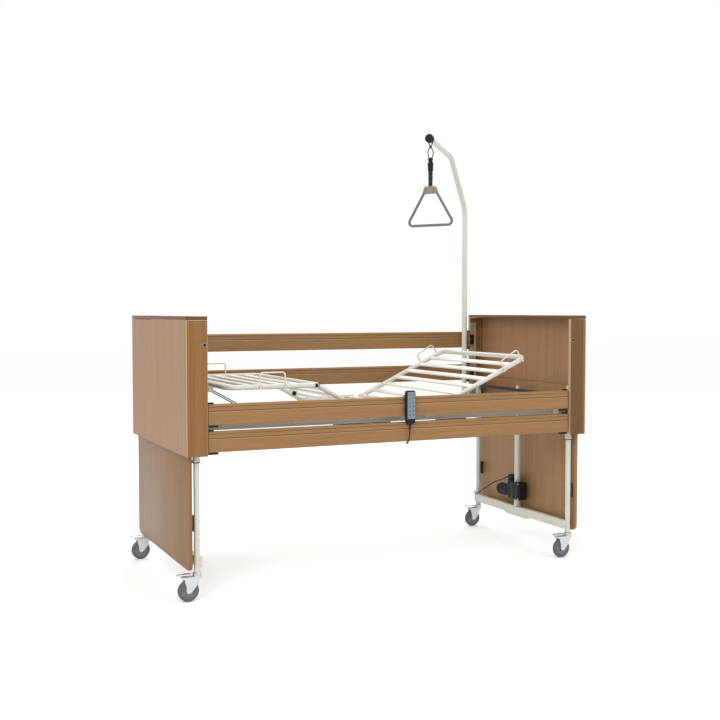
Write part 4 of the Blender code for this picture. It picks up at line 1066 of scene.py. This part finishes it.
# moulded plate over the top of the triangle, two shells screwed together
for y0, y1 in ((-0.0108, -0.0006), (0.0006, 0.0108)):
    shell = bmesh.new()
    outline = [(-0.046, -grab["plateBottom"] + 0.0005), (0.046, -grab["plateBottom"] + 0.0005),
        (0.031, -grab["plateTop"] - 0.0005), (-0.031, -grab["plateTop"] - 0.0005)]
    closeRings(shell, [[shell.verts.new((u, y, v)) for u, v in outline] for y in (y0, y1)])
    bevel(shell, [e for e in shell.edges if runsAlong(1)(e)], 0.007, 4)
    bevel(shell, sharpEdges(shell), 0.0016, 2)
    merge(shell, hang)
makePiece("grip_plate", platePlastic, "handle")
for u in (-0.024, 0.024):
    addRod(hang @ Vector((u, -0.0111, -0.27)), hang @ Vector((u, 0.0111, -0.27)), 0.0036, 0.0005, 16)
makePiece("grip_screws", darkSteel, "handle")
for k in range(11):
    addRing(hang @ Vector((0.015 * (k - 5), 0, -grab["gripBottom"])), barLine, 0.0071, 0.0006, 24, 8)
makePiece("grip_ribs", gripPlastic, "handle")
print("pole and handle done")

# handset
middle = handset["x"]
shell = bmesh.new()
levels = [(0.0, 0.015, 0.004), (0.004, 0.0205, 0.0015), (0.012, 0.0245, 0.0), (0.03, 0.027, 0.0),
    (0.07, 0.0275, 0.0), (0.12, 0.028, 0.0), (0.15, 0.028, 0.0), (0.159, 0.0265, 0.0006), (0.164, 0.0235,
    0.0024), (0.166, 0.019, 0.005)]
middleY = (frontY + handset["backY"]) / 2
closeRings(shell, [[shell.verts.new((middle + w * squarish(math.cos(a), 0.45),
    middleY + (handset["thick"] / 2 - inset) * squarish(math.sin(a),
    0.5), handset["bottom"] + rise)) for a in around(28)] for rise, w, inset in levels])
merge(shell)
addBox((middle - 0.018, -0.528, 0.9106), (middle + 0.018, -0.489, 0.915), 0.0018, 2)
addBox((middle - 0.018, -0.4934, 0.888), (middle + 0.018, -0.489, 0.915), 0.0018, 2)
makePiece("handset_shell", blackPlastic, "near_rail_upper", ["handset"], sharp=50)
top = Vector((middle, frontY + 0.013, handset["bottom"] + 0.006))
low = Vector((middle - 0.002, frontY + 0.013, handset["bottom"] - 0.03))
profile = [(0, 0)]
for k in range(7):
    a = 0.0052 * k
    r = 0.0064 - 0.0003 * k
    profile += [(a, r), (a + 0.003, r - 0.0002), (a + 0.0034, r - 0.0012), (a + 0.0048, r - 0.0013)]
profile += [((low - top).length, 0.004), ((low - top).length, 0)]
addLathe(top, low - top, profile, 20)
makePiece("handset_strain_relief", softBlack, "near_rail_upper")
addBox((middle - 0.0218, frontY - 0.002, handset["bottom"] + 0.0265),
    (middle + 0.0218, frontY - 0.0002, handset["top"] - 0.0062), 0.0007, 2)
makePiece("handset_foil", foil, "near_rail_upper", ["handset_keypad"])
keyFace = frontY - 0.002
keyPlaces = [(middle + column * 0.0102, handset["top"] - 0.018 - row * 0.0205, -column) for row in range(6)
    for column in (-1, 1)]
for x, z, way in keyPlaces:
    outline = ((-0.004, -way * 0.0012), (0.004, -way * 0.0012), (0, way * 0.0044))
    addPrism([(x + u, keyFace - 0.0004, z + v) for u, v in outline], (0, -0.0002, 0))
    barZ = z - way * 0.0024
    addBox((x - 0.0042, keyFace - 0.0006, barZ - 0.0008), (x + 0.0042, keyFace - 0.0004, barZ + 0.0008))
makePiece("handset_icons", iconInk, "near_rail_upper")
for x, z, way in keyPlaces:
    addBox((x - 0.0078, keyFace - 0.0004, z - 0.0075), (x + 0.0078, keyFace + 0.0004, z + 0.0075),
        0.0003, 1)
makePiece("handset_keys", foil, "near_rail_upper")
addRod((middle, frontY - 0.0016, handset["top"] - 0.0085),
    (middle, frontY - 0.0024, handset["top"] - 0.0085), 0.0014, 0.0003, 12)
makePiece("handset_lamp", lampGreen, "near_rail_upper")
print("handset done")
